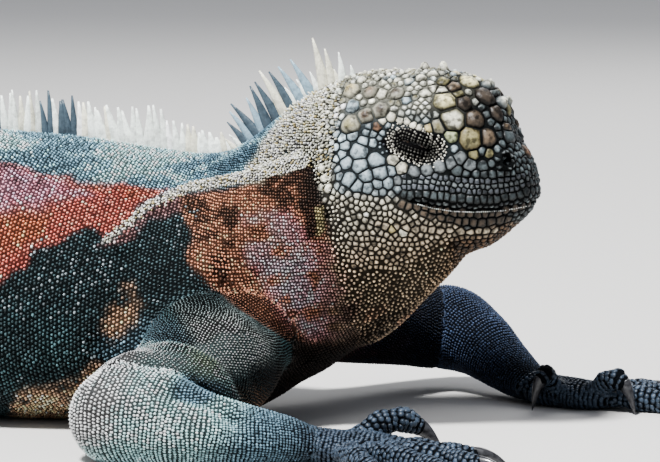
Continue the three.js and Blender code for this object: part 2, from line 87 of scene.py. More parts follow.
# Cross-sections from the snout to the tip of the tail, in the straightened body. Each row holds
# the top point (along, height), the bottom point (along, height), the half width, the height
# share at which it is widest, and the roundness of its upper and lower half (2 is an ellipse).
sections = np.array([
    [91.4, 80.5, 91.4, 75.8, 3, 0.5, 2, 2],
    [90.2, 86.4, 90.2, 71, 9, 0.5, 2.2, 2.2],
    [87.8, 91.2, 87.4, 68.2, 12.2, 0.48, 2.3, 2.2],
    [84.8, 95.6, 84.4, 65.6, 14.4, 0.46, 2.3, 2.2],
    [82.2, 103.6, 80.2, 62, 16.6, 0.42, 2.2, 2.2],
    [78, 110, 76, 59, 18.6, 0.4, 2.2, 2.2],
    [71.2, 114.2, 71.2, 57.2, 20.4, 0.4, 2.3, 2.2],
    [64, 116.2, 67.6, 55.2, 22, 0.42, 2.4, 2.1],
    [56, 117, 63.6, 50.2, 23.4, 0.46, 2.4, 2],
    [48, 116.2, 58.6, 44.8, 24.8, 0.5, 2.4, 1.95],
    [40, 116, 53, 39, 26.2, 0.52, 2.3, 1.9],
    [32, 114.6, 46.6, 32.4, 27.2, 0.54, 2.2, 1.9],
    [24.5, 112, 39, 26.8, 27.4, 0.54, 2, 1.9],
    [17, 108.4, 30.5, 23.4, 27.4, 0.52, 1.8, 1.9],
    [9, 103.2, 21.5, 17, 28.6, 0.53, 1.7, 1.9],
    [1, 97, 13, 12.5, 31.5, 0.525, 1.7, 1.9],
    [-6.5, 91.6, 5, 7.5, 36.5, 0.49, 1.75, 2],
    [-13, 88.7, -5, 3, 41.5, 0.45, 1.8, 2.1],
    [-24, 87.8, -21, 0, 47, 0.42, 1.85, 2.3],
    [-40, 89.6, -40, -1, 51.5, 0.4, 1.9, 2.4],
    [-65, 92.2, -65, -2, 56.5, 0.38, 1.9, 2.5],
    [-95, 94, -95, -2.5, 60, 0.37, 1.9, 2.6],
    [-125, 93.2, -125, -2.5, 60.5, 0.37, 1.9, 2.6],
    [-155, 89.6, -155, -2.5, 57, 0.38, 1.9, 2.5],
    [-185, 82.6, -185, -2, 49, 0.4, 1.85, 2.4],
    [-210, 74.6, -210, -1.5, 40, 0.42, 1.8, 2.3],
    [-235, 64, -235, -1, 30.5, 0.42, 1.8, 2.2],
    [-265, 54, -265, -1, 22.5, 0.42, 1.8, 2.2],
    [-300, 46, -300, -1, 17.2, 0.42, 1.8, 2.1],
    [-350, 39.4, -350, -0.8, 13, 0.42, 1.75, 2.1],
    [-420, 32.6, -420, -0.7, 10, 0.42, 1.7, 2.1],
    [-500, 25.6, -500, -0.6, 7.4, 0.42, 1.7, 2.1],
    [-580, 18.8, -580, -0.5, 5.4, 0.42, 1.7, 2.1],
    [-650, 12.6, -650, -0.4, 3.8, 0.42, 1.8, 2.1],
    [-700, 7.2, -700, -0.3, 2.5, 0.42, 2, 2.1],
    [-715, 4.2, -715, -0.2, 1.4, 0.45, 2, 2],
])
neckBase, vent, tailTip = 17.0, 26.0, 35.0  # rows of the table

# Swellings and hollows, mirrored left to right: place, spread and push
reliefs = [
    ((57, 20, 105), (14, 8, 5), (0, 2.2, 0.6)),  # brow
    ((56, 21, 94), (11, 8, 7.5), (0, -2.4, 0)),  # eye socket
    ((83, 13, 89), (5, 6, 5), (0, 1.6, 0)),  # nostril
    ((73, 18, 85), (7, 7, 6), (0, -1.4, 0)),  # hollow before the eye
    ((37, 27, 79), (12, 10, 12), (0, 2.4, 0)),  # jaw muscle
    ((66, 19, 66), (14, 8, 6), (0, -1.2, 0)),  # below the lip
    ((25, 27, 88), (8, 8, 8), (0, -2.0, 0)),  # behind the ear
]


def hump(value, middle, width):
    return np.exp(-((value - middle) / width) ** 2)


def ease(value, low, high):
    t = np.clip((value - low) / (high - low), 0, 1)
    return t * t * (3 - 2 * t)


def unit(vectors, least=1e-9):
    return vectors / np.maximum(np.linalg.norm(vectors, axis=1), least)[:, None]


def walkedTo(points):
    # The distance walked along a line of points, up to each of them
    return np.concatenate([[0], np.cumsum(np.linalg.norm(np.diff(points, axis=0), axis=1))])


def foldedOver(straight):
    return straight * [1, 0, 1] + np.abs(straight) * [0, 1, 0]


def flattened(ahead, up, least=1e-9):
    # The part of a direction that lies along the skin
    return unit(ahead - up * (ahead * up).sum(1)[:, None], least)


def treeOf(points):
    tree = KDTree(len(points))
    for i, p in enumerate(points):
        tree.insert(p, i)
    tree.balance()
    return tree


def linked(name, data):
    made = bpy.data.objects.new(name, data)
    bpy.context.scene.collection.objects.link(made)
    return made


def tableAt(table, row):
    row = np.atleast_1d(np.asarray(row, float))
    i = np.clip(row.astype(int), 0, len(table) - 2)
    t = (row - i)[:, None]

    def at(k):
        return table[np.clip(k, 0, len(table) - 1)]

    a, b, c, d = at(i - 1), at(i), at(i + 1), at(i + 2)
    return b + 0.5 * t * (c - a + t * (2 * a - 5 * b + 4 * c - d + t * (3 * (b - c) + d - a)))


def signedPower(value, power):
    return np.sign(value) * np.abs(value) ** power


def ringAt(row, fractions, inset=0.0):
    # Points of one cross-section, by the share of its length from the top round the left side
    topX, topZ, lowX, lowZ, width, waist, upper, lower = tableAt(sections, row)[0]
    inset = min(inset, 0.2 * width)
    turns = np.linspace(0, 2 * np.pi, 481)
    low = np.array([lowX, 0, lowZ])
    rise = np.array([topX, 0, topZ]) - low
    height = np.linalg.norm(rise)
    above = np.cos(turns) > 0
    power = 2 / np.where(above, upper, lower)
    reach = height * np.where(above, 1 - waist, waist) - inset
    points = low + rise * waist + np.outer(signedPower(np.cos(turns), power) * reach, rise / height)
    points[:, 1] = signedPower(np.sin(turns), power) * (width - inset)
    side = np.sign(points[:, 1])
    swollen = points.copy()
    for place, spread, push in reliefs:
        share = np.exp(-(((foldedOver(points) - place) / np.array(spread)) ** 2).sum(1))
        swollen += np.stack([push[0] * share, side * push[1] * share, push[2] * share], axis=1)
    walked = walkedTo(swollen)
    wanted = np.asarray(fractions) * walked[-1]
    return np.stack([np.interp(wanted, walked, swollen[:, k]) for k in range(3)], axis=1)


def rowsBetween(first, last, spacing):
    # Rows a given distance apart along the animal; spacing is a number or a function of the row
    fine = np.arange(first, last + 1e-6, 0.01)
    values = tableAt(sections, fine)
    top = np.hypot(np.diff(values[:, 0]), np.diff(values[:, 1]))
    low = np.hypot(np.diff(values[:, 2]), np.diff(values[:, 3]))
    gaps = spacing(fine[:-1]) if callable(spacing) else spacing
    counted = np.concatenate([[0], np.cumsum((top + low) / 2 / gaps)])
    count = max(2, int(round(counted[-1])))
    return np.interp(np.linspace(0, counted[-1], count + 1), counted, fine)


# The track of the body over the ground, seen from above

def headingAt(along):
    along = np.asarray(along, float)
    share = (body["tailFrom"] - along) / (body["tailFrom"] - body["tailEnd"])
    turned = math.radians(body["headTurn"]) * ease(along, body["turnFrom"], body["turnTo"])
    waves = np.sin(2 * np.pi * body["tailWaves"] * share) * ease(share, 0, 0.2)
    swung = math.radians(body["tailSwing"]) * waves
    return np.where(along > body["turnFrom"], turned, np.where(along > body["tailFrom"], 0, swung))


trackStep = 0.5
trackAlong = np.arange(-760, 150, trackStep)
trackHeading = headingAt(trackAlong + trackStep / 2)
trackX = np.cumsum(np.cos(trackHeading) * trackStep) - np.cos(trackHeading) * trackStep
trackY = np.cumsum(np.sin(trackHeading) * trackStep) - np.sin(trackHeading) * trackStep
trackX -= np.interp(0, trackAlong, trackX)
trackY -= np.interp(0, trackAlong, trackY)


def bendOnly(points):
    along, aside = points[:, 0], points[:, 1]
    heading = headingAt(along)
    x = np.interp(along, trackAlong, trackX) - np.sin(heading) * aside
    y = np.interp(along, trackAlong, trackY) + np.cos(heading) * aside
    return np.stack([x, y, points[:, 2]], axis=1)


eyeLow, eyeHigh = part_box("eye_right")
eyeMiddle = (np.array(eyeLow) + np.array(eyeHigh)) / 2 / mm
eyeCentre = np.array([body["eyeX"], body["eyeY"], eyeMiddle[2]])
turnedEye = bendOnly((eyeCentre * [1, -1, 1])[None])[0]
frameShift = np.array([eyeMiddle[0] - turnedEye[0], eyeMiddle[1] - turnedEye[1], 0.0])


def bend(points):
    return (bendOnly(points) + frameShift) * mm


def unbend(points):
    # Metres in the scene, back to millimetres in the straightened body
    spot = points / mm - frameShift
    along = spot[:, 0]

    def fromTrack():
        heading = headingAt(along)
        awayX = spot[:, 0] - np.interp(along, trackAlong, trackX)
        awayY = spot[:, 1] - np.interp(along, trackAlong, trackY)
        cos, sin = np.cos(heading), np.sin(heading)
        return awayX * cos + awayY * sin, awayY * cos - awayX * sin

    for _ in range(6):
        along = along + fromTrack()[0]
    return np.stack([along, fromTrack()[1], spot[:, 2]], axis=1)


# The camera, at the photo's angle and distance

view = {
    "target": (23.0, 0.0, 63.0),
    "azimuth": 20.0,
    "elevation": 6.0,
    "distance": 1250.0,
    "pixelsPerMm": 3.07,  # at the target
    "width": 660,
    "height": 462,
}
azimuth, elevation = math.radians(view["azimuth"]), math.radians(view["elevation"])
acrossView = np.array([math.cos(azimuth), math.sin(azimuth), 0])
upView = np.array([-math.sin(azimuth) * math.sin(elevation), math.cos(azimuth) * math.sin(elevation),
                   math.cos(elevation)])
intoView = np.array([-math.sin(azimuth) * math.cos(elevation), math.cos(azimuth) * math.cos(elevation),
                     -math.sin(elevation)])
viewTarget = np.array(view["target"]) + frameShift
viewPlace = viewTarget - intoView * view["distance"]


def photoPoint(points):
    # Where a point in the scene (metres) falls in the photo, in its pixels
    away = points / mm - viewTarget
    scale = view["pixelsPerMm"] * view["distance"] / (view["distance"] + away @ intoView)
    return np.stack([view["width"] / 2 + scale * (away @ acrossView),
                     view["height"] / 2 - scale * (away @ upView)], axis=1)


def photoRay(px, py):
    across = (px - view["width"] / 2) / view["pixelsPerMm"]
    up = (view["height"] / 2 - py) / view["pixelsPerMm"]
    direction = intoView * view["distance"] + acrossView * across + upView * up
    return Vector(viewPlace * mm), Vector(direction).normalized()


def sideView(straight):
    # Where a point falls in the photo once both sides are folded onto the side that it shows
    return photoPoint(bend(foldedOver(straight) * [1, -1, 1]))


def addCamera():
    lens = bpy.data.cameras.new("camera")
    lens.sensor_width = 36
    lens.lens = 36 * view["distance"] * view["pixelsPerMm"] / view["width"]
    lens.clip_start, lens.clip_end = 0.05, 20
    camera = linked("camera", lens)
    turn = Matrix((acrossView, upView, -intoView)).transposed()
    camera.matrix_world = Matrix.Translation(Vector(viewPlace * mm)) @ turn.to_4x4()
    bpy.context.scene.camera = camera


addCamera()
print("camera placed")


# Smooth noise over space, the same each run

def noise(points, size, seed=0):
    spot = np.asarray(points, float) / size + seed * 17.31
    cell = np.floor(spot).astype(np.int64)
    part = spot - cell
    part = part * part * (3 - 2 * part)
    total = np.zeros(len(spot))
    for corner in range(8):
        step = np.array([corner & 1, corner >> 1 & 1, corner >> 2 & 1])
        key = (cell + step) @ np.array([73856093, 19349663, 83492791]) + seed * 2654435
        key = (key ^ (key >> 13)) * 1274126177 & 0x7FFFFFFF
        key = (key ^ (key >> 15)) * 668265263 & 0x7FFFFFFF
        value = (key & 0xFFFF) / 65535 - 0.5
        weight = np.prod(np.where(step == 1, part, 1 - part), axis=1)
        total += value * weight
    return total * 2


def roughNoise(points, size, seed=0):
    return (noise(points, size, seed) + 0.5 * noise(points, size / 2, seed + 1)
            + 0.25 * noise(points, size / 4, seed + 2)) / 1.4


def lineDistance(spots, line):
    # Distance from flat points to a line of points, and the share of the line at the nearest place
    best = np.full(len(spots), 1e9)
    share = np.zeros(len(spots))
    line = np.asarray(line, float)
    for i in range(len(line) - 1):
        a, b = line[i], line[i + 1]
        t = np.clip((spots - a) @ (b - a) / ((b - a) @ (b - a)), 0, 1)
        far = np.linalg.norm(spots - a - t[:, None] * (b - a), axis=1)
        nearer = far < best
        best[nearer] = far[nearer]
        share[nearer] = (i + t[nearer]) / (len(line) - 1)
    return best, share


def zone(spots, outline, soft):
    # 1 inside a closed outline and 0 outside, with a soft edge
    outline = np.asarray(outline, float)
    far, _ = lineDistance(spots, np.vstack([outline, outline[:1]]))
    inside = np.zeros(len(spots), bool)
    for (ax, ay), (bx, by) in zip(outline, np.roll(outline, -1, axis=0)):
        if ay == by:
            continue
        crosses = (ay > spots[:, 1]) != (by > spots[:, 1])
        inside ^= crosses & (spots[:, 0] < (bx - ax) * (spots[:, 1] - ay) / (by - ay) + ax)
    return ease(np.where(inside, far, -far), -soft, soft)


# Meshes

def meshObject(name, points, faces, smooth=True):
    mesh = bpy.data.meshes.new(name)
    mesh.from_pydata(np.asarray(points).tolist(), [], [list(map(int, f)) for f in faces])
    mesh.update()
    if smooth:
        mesh.polygons.foreach_set("use_smooth", np.ones(len(mesh.polygons), bool))
    return linked(name, mesh)


def meshArrays(mesh):
    mesh.calc_loop_triangles()
    points = np.zeros(len(mesh.vertices) * 3)
    mesh.vertices.foreach_get("co", points)
    faces = np.zeros(len(mesh.loop_triangles) * 3, np.int32)
    mesh.loop_triangles.foreach_get("vertices", faces)
    return points.reshape(-1, 3), faces.reshape(-1, 3)


def addLayer(mesh, name, kind, values):
    # One value for each point of a mesh
    layer = mesh.attributes.new(name, kind, "POINT")
    key = {"FLOAT": "value", "FLOAT_VECTOR": "vector", "FLOAT_COLOR": "color"}[kind]
    layer.data.foreach_set(key, np.ascontiguousarray(values, np.float32).ravel())


def addTint(mesh, tints):
    addLayer(mesh, "tint", "FLOAT_COLOR", np.hstack([tints, np.ones((len(tints), 1))]))


def vertexNormals(points, faces):
    a, b, c = (points[faces[:, k]] for k in range(3))
    flat = np.cross(b - a, c - a)
    normals = np.zeros_like(points)
    for k in range(3):
        np.add.at(normals, faces[:, k], flat)
    return unit(normals, 1e-12)


def loftFaces(counts):
    # Triangles between rings; a ring may have half as many points as the one before it
    faces = []
    start = 0
    for now, after in zip(counts[:-1], counts[1:]):
        j = np.arange(after)
        follow = (j + 1) % after
        below = start + now
        if now == after:
            faces.append(np.stack([start + j, start + follow, below + follow], axis=1))
            faces.append(np.stack([start + j, below + follow, below + j], axis=1))
        else:
            a0, a1, a2 = start + 2 * j, start + 2 * j + 1, start + (2 * j + 2) % now
            faces.append(np.stack([a0, a1, below + j], axis=1))
            faces.append(np.stack([a1, below + follow, below + j], axis=1))
            faces.append(np.stack([a1, a2, below + follow], axis=1))
        start += now
    return np.concatenate(faces)


def closedLoft(rings):
    counts = [len(ring) for ring in rings]
    points = np.concatenate(rings)
    faces = [loftFaces(counts)]
    for ring, first, flip in ((rings[0], 0, True), (rings[-1], len(points) - counts[-1], False)):
        j = np.arange(len(ring))
        pair = np.stack([first + j, first + (j + 1) % len(ring)], axis=1)
        middle = np.full((len(ring), 1), len(points))
        points = np.vstack([points, ring.mean(0)])
        faces.append(np.hstack([pair[:, ::-1] if flip else pair, middle]))
    return points, np.concatenate(faces)


# The skin of the body: its folds, lids and lips

skin = {
    "sides": 256,  # round the head; the trunk has half and the tail a quarter as many
    "lidGap": 0.75,  # the lids' cover over the eyeball
    "slitDepth": 1.15,
    "slitWidth": 0.3,
    "mouthDepth": 1.1,
    "mouthWidth": 0.6,
    "nostrilDepth": 3.2,
    "nostrilRadius": 1.6,
    "blendReach": 7.0,  # how far from a joined leg the skin is smoothed
    "shoulderBlend": 22.0,  # how far the swelling between body and leg reaches
    "elbowBlend": 13.0,
    "domePush": 2.4,
    "domeFade": (-425, -395),
}
# Lines along the head and neck, in millimetres (along, height)
mouthLine = [[54.2, 76.6], [57.5, 75.4], [62, 74.2], [68, 73.2], [74, 72.9], [83, 73.2], [90, 74.4],
             [100, 76]]
lidLine = [[52.6, 94.6], [56.6, 93.6], [60.4, 91.9]]
nostrilPlace = (84.8, 13.6, 88.7)
earPlace = (25.5, 26.0, 83.0)
# Folds, in photo pixels, with their depth and width in millimetres
folds = [
    ([(258, 225), (268, 262), (262, 300)], 0.6, 2.5),
    ([(118, 246), (130, 290), (118, 330)], 0.9, 4.0),
    ([(92, 330), (112, 352), (100, 385)], 1.2, 4.0),
    ([(305, 350), (345, 345), (385, 318)], 0.8, 2.4),
    ([(323, 168), (331, 195), (330, 225)], 0.9, 1.6),
]
# Folds of the near shoulder and arm, pressed in once the leg is joined
armFolds = [
    ([(191, 264), (225, 290), (256, 312), (278, 328), (296, 345), (314, 368)], 2.0, 2.2),
    ([(152, 397), (180, 397), (205, 404), (224, 413), (246, 430)], 3.0, 2.2),
    ([(160, 393), (178, 384), (198, 378)], 0.9, 1.6),
    ([(166, 395), (190, 390), (212, 393)], 0.9, 1.6),
    ([(236, 376), (246, 398), (250, 422)], 1.4, 1.6),
    ([(252, 372), (262, 396), (262, 420)], 1.2, 1.6),
]
armDome = [(78, 430), (84, 408), (92, 388), (108, 368), (128, 353), (150, 345), (172, 345), (196, 352),
           (214, 362), (226, 378), (240, 402), (252, 424), (240, 450), (78, 450)]
stripeLine = [(300, 160), (262, 172), (240, 178), (190, 187), (150, 206), (105, 241)]


def creaseDepth(spots, lines, taper, bank=0.0):
    # How deep the folds are at places in the photo, with a low bank on each side of a fold
    depth = np.zeros(len(spots))
    for line, deep, width in lines:
        far, share = lineDistance(spots, line)
        far = far / view["pixelsPerMm"]
        fade = ease(share, 0, taper) * ease(1 - share, 0, taper)
        depth += deep * fade * (hump(far, 0, width) - bank * hump(far, 2.2 * width, width))
    return depth


def sculpt(straight, normals):
    # Moves the points of the smooth body into lids, lips, nostrils, folds and the raised stripe
    folded = foldedOver(straight)
    push = np.zeros(len(straight))
    far, share = lineDistance(folded[:, [0, 2]], mouthLine)
    onHead = ease(folded[:, 0], 50, 54)
    above = folded[:, 2] - np.interp(folded[:, 0], *np.array(mouthLine).T)
    push -= skin["mouthDepth"] * hump(far, 0, skin["mouthWidth"]) * ease(share, 0, 0.06) * onHead
    lips = hump(above, 2.2, 1.6) - hump(above, -2.4, 1.8)
    push += 0.45 * lips * onHead * ease(share, 0, 0.15)
    hole = np.linalg.norm(folded - nostrilPlace, axis=1)
    push -= skin["nostrilDepth"] * ease(-hole, -skin["nostrilRadius"] - 0.5, -skin["nostrilRadius"] + 0.7)
    push += 0.9 * hump(hole, 2.7, 0.9)
    ear = (folded - earPlace) / [3.4, 8, 7.5]
    push -= 1.6 * np.exp(-(ear ** 2).sum(1))
    spots = sideView(straight)
    seen = ease(folded[:, 1], 4, 10)
    push -= creaseDepth(spots, folds, 0.12, 0.35) * seen
    far, share = lineDistance(spots, stripeLine)
    push += 1.1 * hump(far / view["pixelsPerMm"], 0, 1.5) * ease(1 - share, 0, 0.1) * seen
    push += 0.5 * roughNoise(folded, 14, 3) * ease(-folded[:, 0], -30, 0) * ease(folded[:, 0], -230, -180)
    moved = straight + normals * push[:, None]
    # The lids bulge over the eyeball and part along the slit
    fromEye = foldedOver(moved) - eyeCentre
    reach = np.linalg.norm(fromEye, axis=1)
    lid = body["eyeRadius"] + skin["lidGap"]
    softness = 1.1
    raised = softness * np.logaddexp(reach / softness, lid / softness)
    outer = ease(fromEye[:, 1], -1, 2) * ease(-reach, -13, -9)
    raised = reach + (raised - reach) * outer
    far, share = lineDistance(moved[:, [0, 2]], lidLine)
    raised += (0.35 * hump(far, 2.1, 0.8) - skin["slitDepth"] * hump(far, 0, skin["slitWidth"])) * outer
    lidded = eyeCentre + fromEye * (raised / np.maximum(reach, 1e-6))[:, None]
    lidded[:, 1] *= np.where(straight[:, 1] < 0, -1.0, 1.0)
    nearEye = (reach < 13) & (fromEye[:, 1] > -1)
    moved[nearEye] = lidded[nearEye]
    return moved


def bodySkin():
    def spacing(row):
        return np.interp(row, [0, 6.4, 6.7, 9.7, 10, 16, 18, 26, 35],
                         [0.8, 0.9, 0.5, 0.5, 0.9, 1.1, 2.2, 2.4, 3.0])

    # Points lie closer together at the height of the eyes and mouth
    even = np.linspace(0, 1, 2001)
    crowd = 1 + 1.2 * hump(np.abs(even - 0.5), 0.32, 0.07) + 0.9 * hump(np.abs(even - 0.5), 0.225, 0.04)
    counted = np.concatenate([[0], np.cumsum((crowd[1:] + crowd[:-1]) / 2)])
    fractions = np.interp(np.arange(skin["sides"]) / skin["sides"] * counted[-1], counted, even)
    rings = []
    for row in rowsBetween(0, tailTip, spacing):
        inset = np.interp(row, [10, 15], [body["headCoat"], body["bodyCoat"]])
        step = 1 if row < neckBase else 2 if row < vent else 4
        rings.append(ringAt(row, fractions[::step], inset))
    points, faces = closedLoft(rings)
    shaped = sculpt(points, vertexNormals(points, faces))
    print("body grid of", len(points), "points")
    return bend(shaped), faces


# The legs. Each point holds x, y, z, the half width sideways and the half thickness.

rightForeleg = {
    "upper": [[3, -20, 33, 16, 16], [1, -40, 25, 19.5, 19.5], [0, -57, 23, 19.5, 18.5],
              [-4, -73, 20, 18.5, 15], [-9, -87, 17, 16, 15], [-13, -97, 15, 9, 9]],
    "lower": [[-22, -88, 13.6, 9, 9.5], [-13, -94, 12.8, 14, 14], [6, -94.5, 11.6, 13.5, 12.8],
              [24, -88.5, 9.4, 12, 10.5], [38, -80.5, 7, 10, 7.9], [46, -76, 5.2, 9, 5.9]],
    "sole": [[44, -77, 5.2, 9, 5.9], [46.3, -75.8, 5.1, 9, 5.8], [54, -73, 4.5, 10.5, 5.4],
             [62, -71, 4.2, 11.5, 5.2], [69, -69.5, 3.8, 10.5, 4.7], [73, -69, 3.6, 8, 4.2]],
    "digits": [
        [[56, -67, 6], [62, -61, 10.5], [68, -57, 11.4], [73, -54.5, 8.8], [79.5, -52, 0.2]],
        [[65, -70.5, 3.9], [77, -70, 4.3], [88, -69, 3.4], [95.5, -68, 3.6], [105, -66, 0.2]],
        [[66, -75, 3.9], [82, -79, 4.3], [94, -82, 3.4], [102, -84, 3.6], [112, -86, 0.2]],
        [[63, -78.5, 3.9], [78, -88, 4.3], [89, -95, 3.4], [96, -100, 3.6], [104, -106, 0.2]],
        [[57, -79.5, 3.9], [65, -91, 4.3], [71, -99, 3.4], [75, -104, 3.6], [80.5, -111, 0.2]],
    ],
}
leftForeleg = {
    "upper": [[6, 20, 34, 16, 16], [7, 42, 31, 16, 17.5], [17, 66, 25, 15, 15],
              [27, 85, 21.5, 13, 13.5], [34, 95, 20, 7, 7]],
    "lower": [[26, 96, 20, 7, 8], [35, 91.5, 21, 12.5, 13.5], [48, 82, 17, 12, 12.4],
              [60, 75, 10.4, 10.4, 9], [68, 69.5, 6.8, 9.4, 6.9], [75.5, 64.3, 5.2, 9, 5.9]],
    "sole": [[73, 66, 5.4, 9, 6], [75.8, 64.1, 5.1, 9, 5.8], [84, 62.5, 4.5, 10.5, 5.4],
             [92, 61.8, 4.2, 11.5, 5.2], [98, 61.6, 3.8, 10.5, 4.7], [102, 61.6, 3.6, 8, 4.2]],
    "digits": [
        [[83, 58, 5.4], [82, 53.5, 9.4], [81, 50.5, 11], [80, 48.5, 9.8], [78, 46, 0.2]],
        [[94, 57, 5], [101, 54, 9.2], [105.5, 52.5, 10.8], [108.5, 51.5, 9.6], [112.5, 50, 0.2]],
        [[99, 60, 3.9], [112, 58, 4.3], [122, 57, 3.4], [129, 56, 3.6], [138.5, 55, 0.2]],
        [[98, 65, 3.9], [112, 68, 4.3], [123, 71, 3.4], [131, 73.5, 3.6], [140.5, 76.5, 0.2]],
        [[91, 69, 3.9], [99, 77, 4.3], [105, 84, 3.4], [109, 89, 3.6], [114.5, 96, 0.2]],
    ],
}
rightHindleg = {
    "upper": [[-214, -16, 46, 18, 18], [-208, -36, 44, 18.5, 19], [-192, -60, 41, 16.5, 17],
              [-178, -78, 37.5, 14, 15], [-170, -88, 34.5, 8, 9]],
    "lower": [[-164, -84, 36, 8, 9], [-172, -88.5, 35, 13.5, 14], [-190, -96, 28, 12.5, 12.5],
              [-208, -103, 18, 9.6, 9.6], [-219, -107.5, 10.5, 8.2, 8.4], [-226, -110, 6.4, 5, 6.4]],
    "sole": [[-231, -108, 5.6, 5, 6], [-222, -110, 5.7, 9.5, 6.8], [-208, -114, 4.8, 10.5, 5.8],
             [-195, -118, 4.3, 11.5, 5.3], [-187, -120, 3.8, 10.5, 4.8], [-182, -121, 3.6, 8, 4.2]],
    "digits": [
        [[-200, -111, 4.6], [-190, -106, 5.4], [-182, -103.5, 5], [-176, -102, 4.4], [-167, -99, 0.2]],
        [[-192, -114.5, 3.9], [-174, -111, 4.3], [-164, -109, 3.4], [-157, -108, 3.6], [-147, -106, 0.2]],
        [[-190, -118, 3.9], [-166, -118, 4.3], [-152, -118, 3.4], [-144, -118, 3.6], [-133, -118, 0.2]],
        [[-190, -122, 3.9], [-162, -128, 4.3], [-144, -133, 3.4], [-134, -136, 3.6], [-123, -139, 0.2]],
        [[-206, -119, 3.9], [-195, -130, 4.3], [-187, -138, 3.4], [-182, -143, 3.6], [-175, -150, 0.2]],
    ],
}
leftHindShift = -7.0


def mirroredLeg(leg):
    def flip(point):
        return [point[0] + leftHindShift * min(1, abs(point[1]) / 60), -point[1], *point[2:]]

    flat = {part: [flip(p) for p in leg[part]] for part in ("upper", "lower", "sole")}
    return {**flat, "digits": [[flip(p) for p in digit] for digit in leg["digits"]]}


legs = {
    "foreleg_right": rightForeleg,
    "foreleg_left": leftForeleg,
    "hindleg_right": rightHindleg,
    "hindleg_left": mirroredLeg(rightHindleg),
}
digitThick = [3.9, 3.9, 4.0, 4.0, 3.7]


def limbCurve(points, t):
    # A centripetal Catmull-Rom curve through the points, and its direction
    p = np.asarray(points, float)[:, :3]
    ends = np.vstack([2 * p[0] - p[1], p, 2 * p[-1] - p[-2]])
    where = np.clip(np.asarray(t), 0, 1) * (len(p) - 1)
    i = np.minimum(where.astype(int), len(p) - 2)
    w = (where - i)[:, None]
    p0, p1, p2, p3 = ends[i], ends[i + 1], ends[i + 2], ends[i + 3]
    d0, d1, d2 = (np.sqrt(np.linalg.norm(b - a, axis=1))[:, None] for a, b in ((p0, p1), (p1, p2), (p2, p3)))
    t1 = ((p1 - p0) / d0 - (p2 - p0) / (d0 + d1) + (p2 - p1) / d1) * d1
    t2 = ((p2 - p1) / d1 - (p3 - p1) / (d1 + d2) + (p3 - p2) / d2) * d1
    c2 = -3 * p1 + 3 * p2 - 2 * t1 - t2
    c3 = 2 * p1 - 2 * p2 + t1 + t2
    place = p1 + w * (t1 + w * (c2 + w * c3))
    along = t1 + w * (2 * c2 + 3 * w * c3)
    return place, unit(along)


def limbRings(points, t, sides, inset=0.0):
    table = np.asarray(points, float)
    t = np.atleast_1d(t)
    centre, along = limbCurve(table, t)
    side = unit(np.cross([0, 0, 1], along))
    top = np.cross(along, side)
    sizes = tableAt(table[:, 3:5], t * (len(table) - 1)) - inset
    turns = 2 * np.pi * (np.asarray(sides) if np.ndim(sides) else (np.arange(sides) + 0.5) / sides)
    return (centre[:, None] + side[:, None] * (sizes[:, :1] * np.cos(turns))[..., None]
            + top[:, None] * (sizes[:, 1:] * np.sin(turns))[..., None]), along


def digitTable(points, thick):
    # The flesh of a digit: a knuckle at each joint and narrower bones between
    shares = [0, 0.17, 0.33, 0.5, 0.66, 0.84, 1]
    size = [1.0, 0.93, 1.08, 0.9, 1.02, 0.84, 0.66]
    flesh = np.array(points[:4], float)
    centre, _ = limbCurve(flesh, shares)
    return np.hstack([centre, np.outer(np.array(size) * thick, [0.94, 1.06])])


def limbPart(points, steps, sides, inset):
    t = np.linspace(0, 1, steps + 1)
    rings, along = limbRings(points, t, sides, inset)
    rings = list(rings)
    # A rounded end instead of a flat cut
    for end, sign, order in ((0, -1, 0), (-1, 1, len(rings) + 1)):
        middle = rings[end].mean(0)
        radius = np.linalg.norm(rings[end] - middle, axis=1).mean()
        domed = middle + (rings[end] - middle) * 0.72 + along[end] * sign * radius * 0.34
        rings.insert(order, domed) if end == 0 else rings.append(domed)
    return closedLoft(rings)


def legParts(leg):
    inset = body["bodyCoat"]
    parts = [limbPart(leg[part], 34, 40, inset) for part in ("upper", "lower")]
    parts.append(limbPart(leg["sole"], 18, 32, body["soleCoat"]))
    for digit, thick in zip(leg["digits"], digitThick):
        parts.append(limbPart(digitTable(digit, thick), 20, 16, body["digitCoat"]))
    return parts


def toGround(points):
    return np.maximum(points, [-np.inf, -np.inf, 0])


def placeLimb(points):
    return toGround((points + frameShift) * mm)


def buildSkin():
    points, faces = bodySkin()
    skinPiece = meshObject("skin", toGround(points), faces)
    others = bpy.data.collections.new("limbs")
    bpy.context.scene.collection.children.link(others)
    lofts = {"body": (toGround(points), faces)}
    for name, leg in legs.items():
        for k, (loft, loftTriangles) in enumerate(legParts(leg)):
            placed = placeLimb(loft)
            lofts[f"{name}_{k}"] = (placed, loftTriangles)
            part = meshObject(f"{name}_{k}", placed, loftTriangles)
            bpy.context.scene.collection.objects.unlink(part)
            others.objects.link(part)
    union = skinPiece.modifiers.new("union", "BOOLEAN")
    union.operation = "UNION"
    union.operand_type = "COLLECTION"
    union.solver = "MANIFOLD"
    union.collection = others
    graph = bpy.context.evaluated_depsgraph_get()
    joined = bpy.data.meshes.new_from_object(skinPiece.evaluated_get(graph))
    skinPiece.modifiers.clear()
    for part in list(others.objects):
        bpy.data.objects.remove(part)
    bpy.data.collections.remove(others)
    points, faces = meshArrays(joined)
    print("skin joined:", len(points), "points,", len(faces), "triangles")
    return skinPiece, points, faces, lofts


def edgesOf(faces):
    pairs = np.concatenate([faces[:, [0, 1]], faces[:, [1, 2]], faces[:, [2, 0]]])
    return np.unique(np.sort(pairs, axis=1), axis=0)


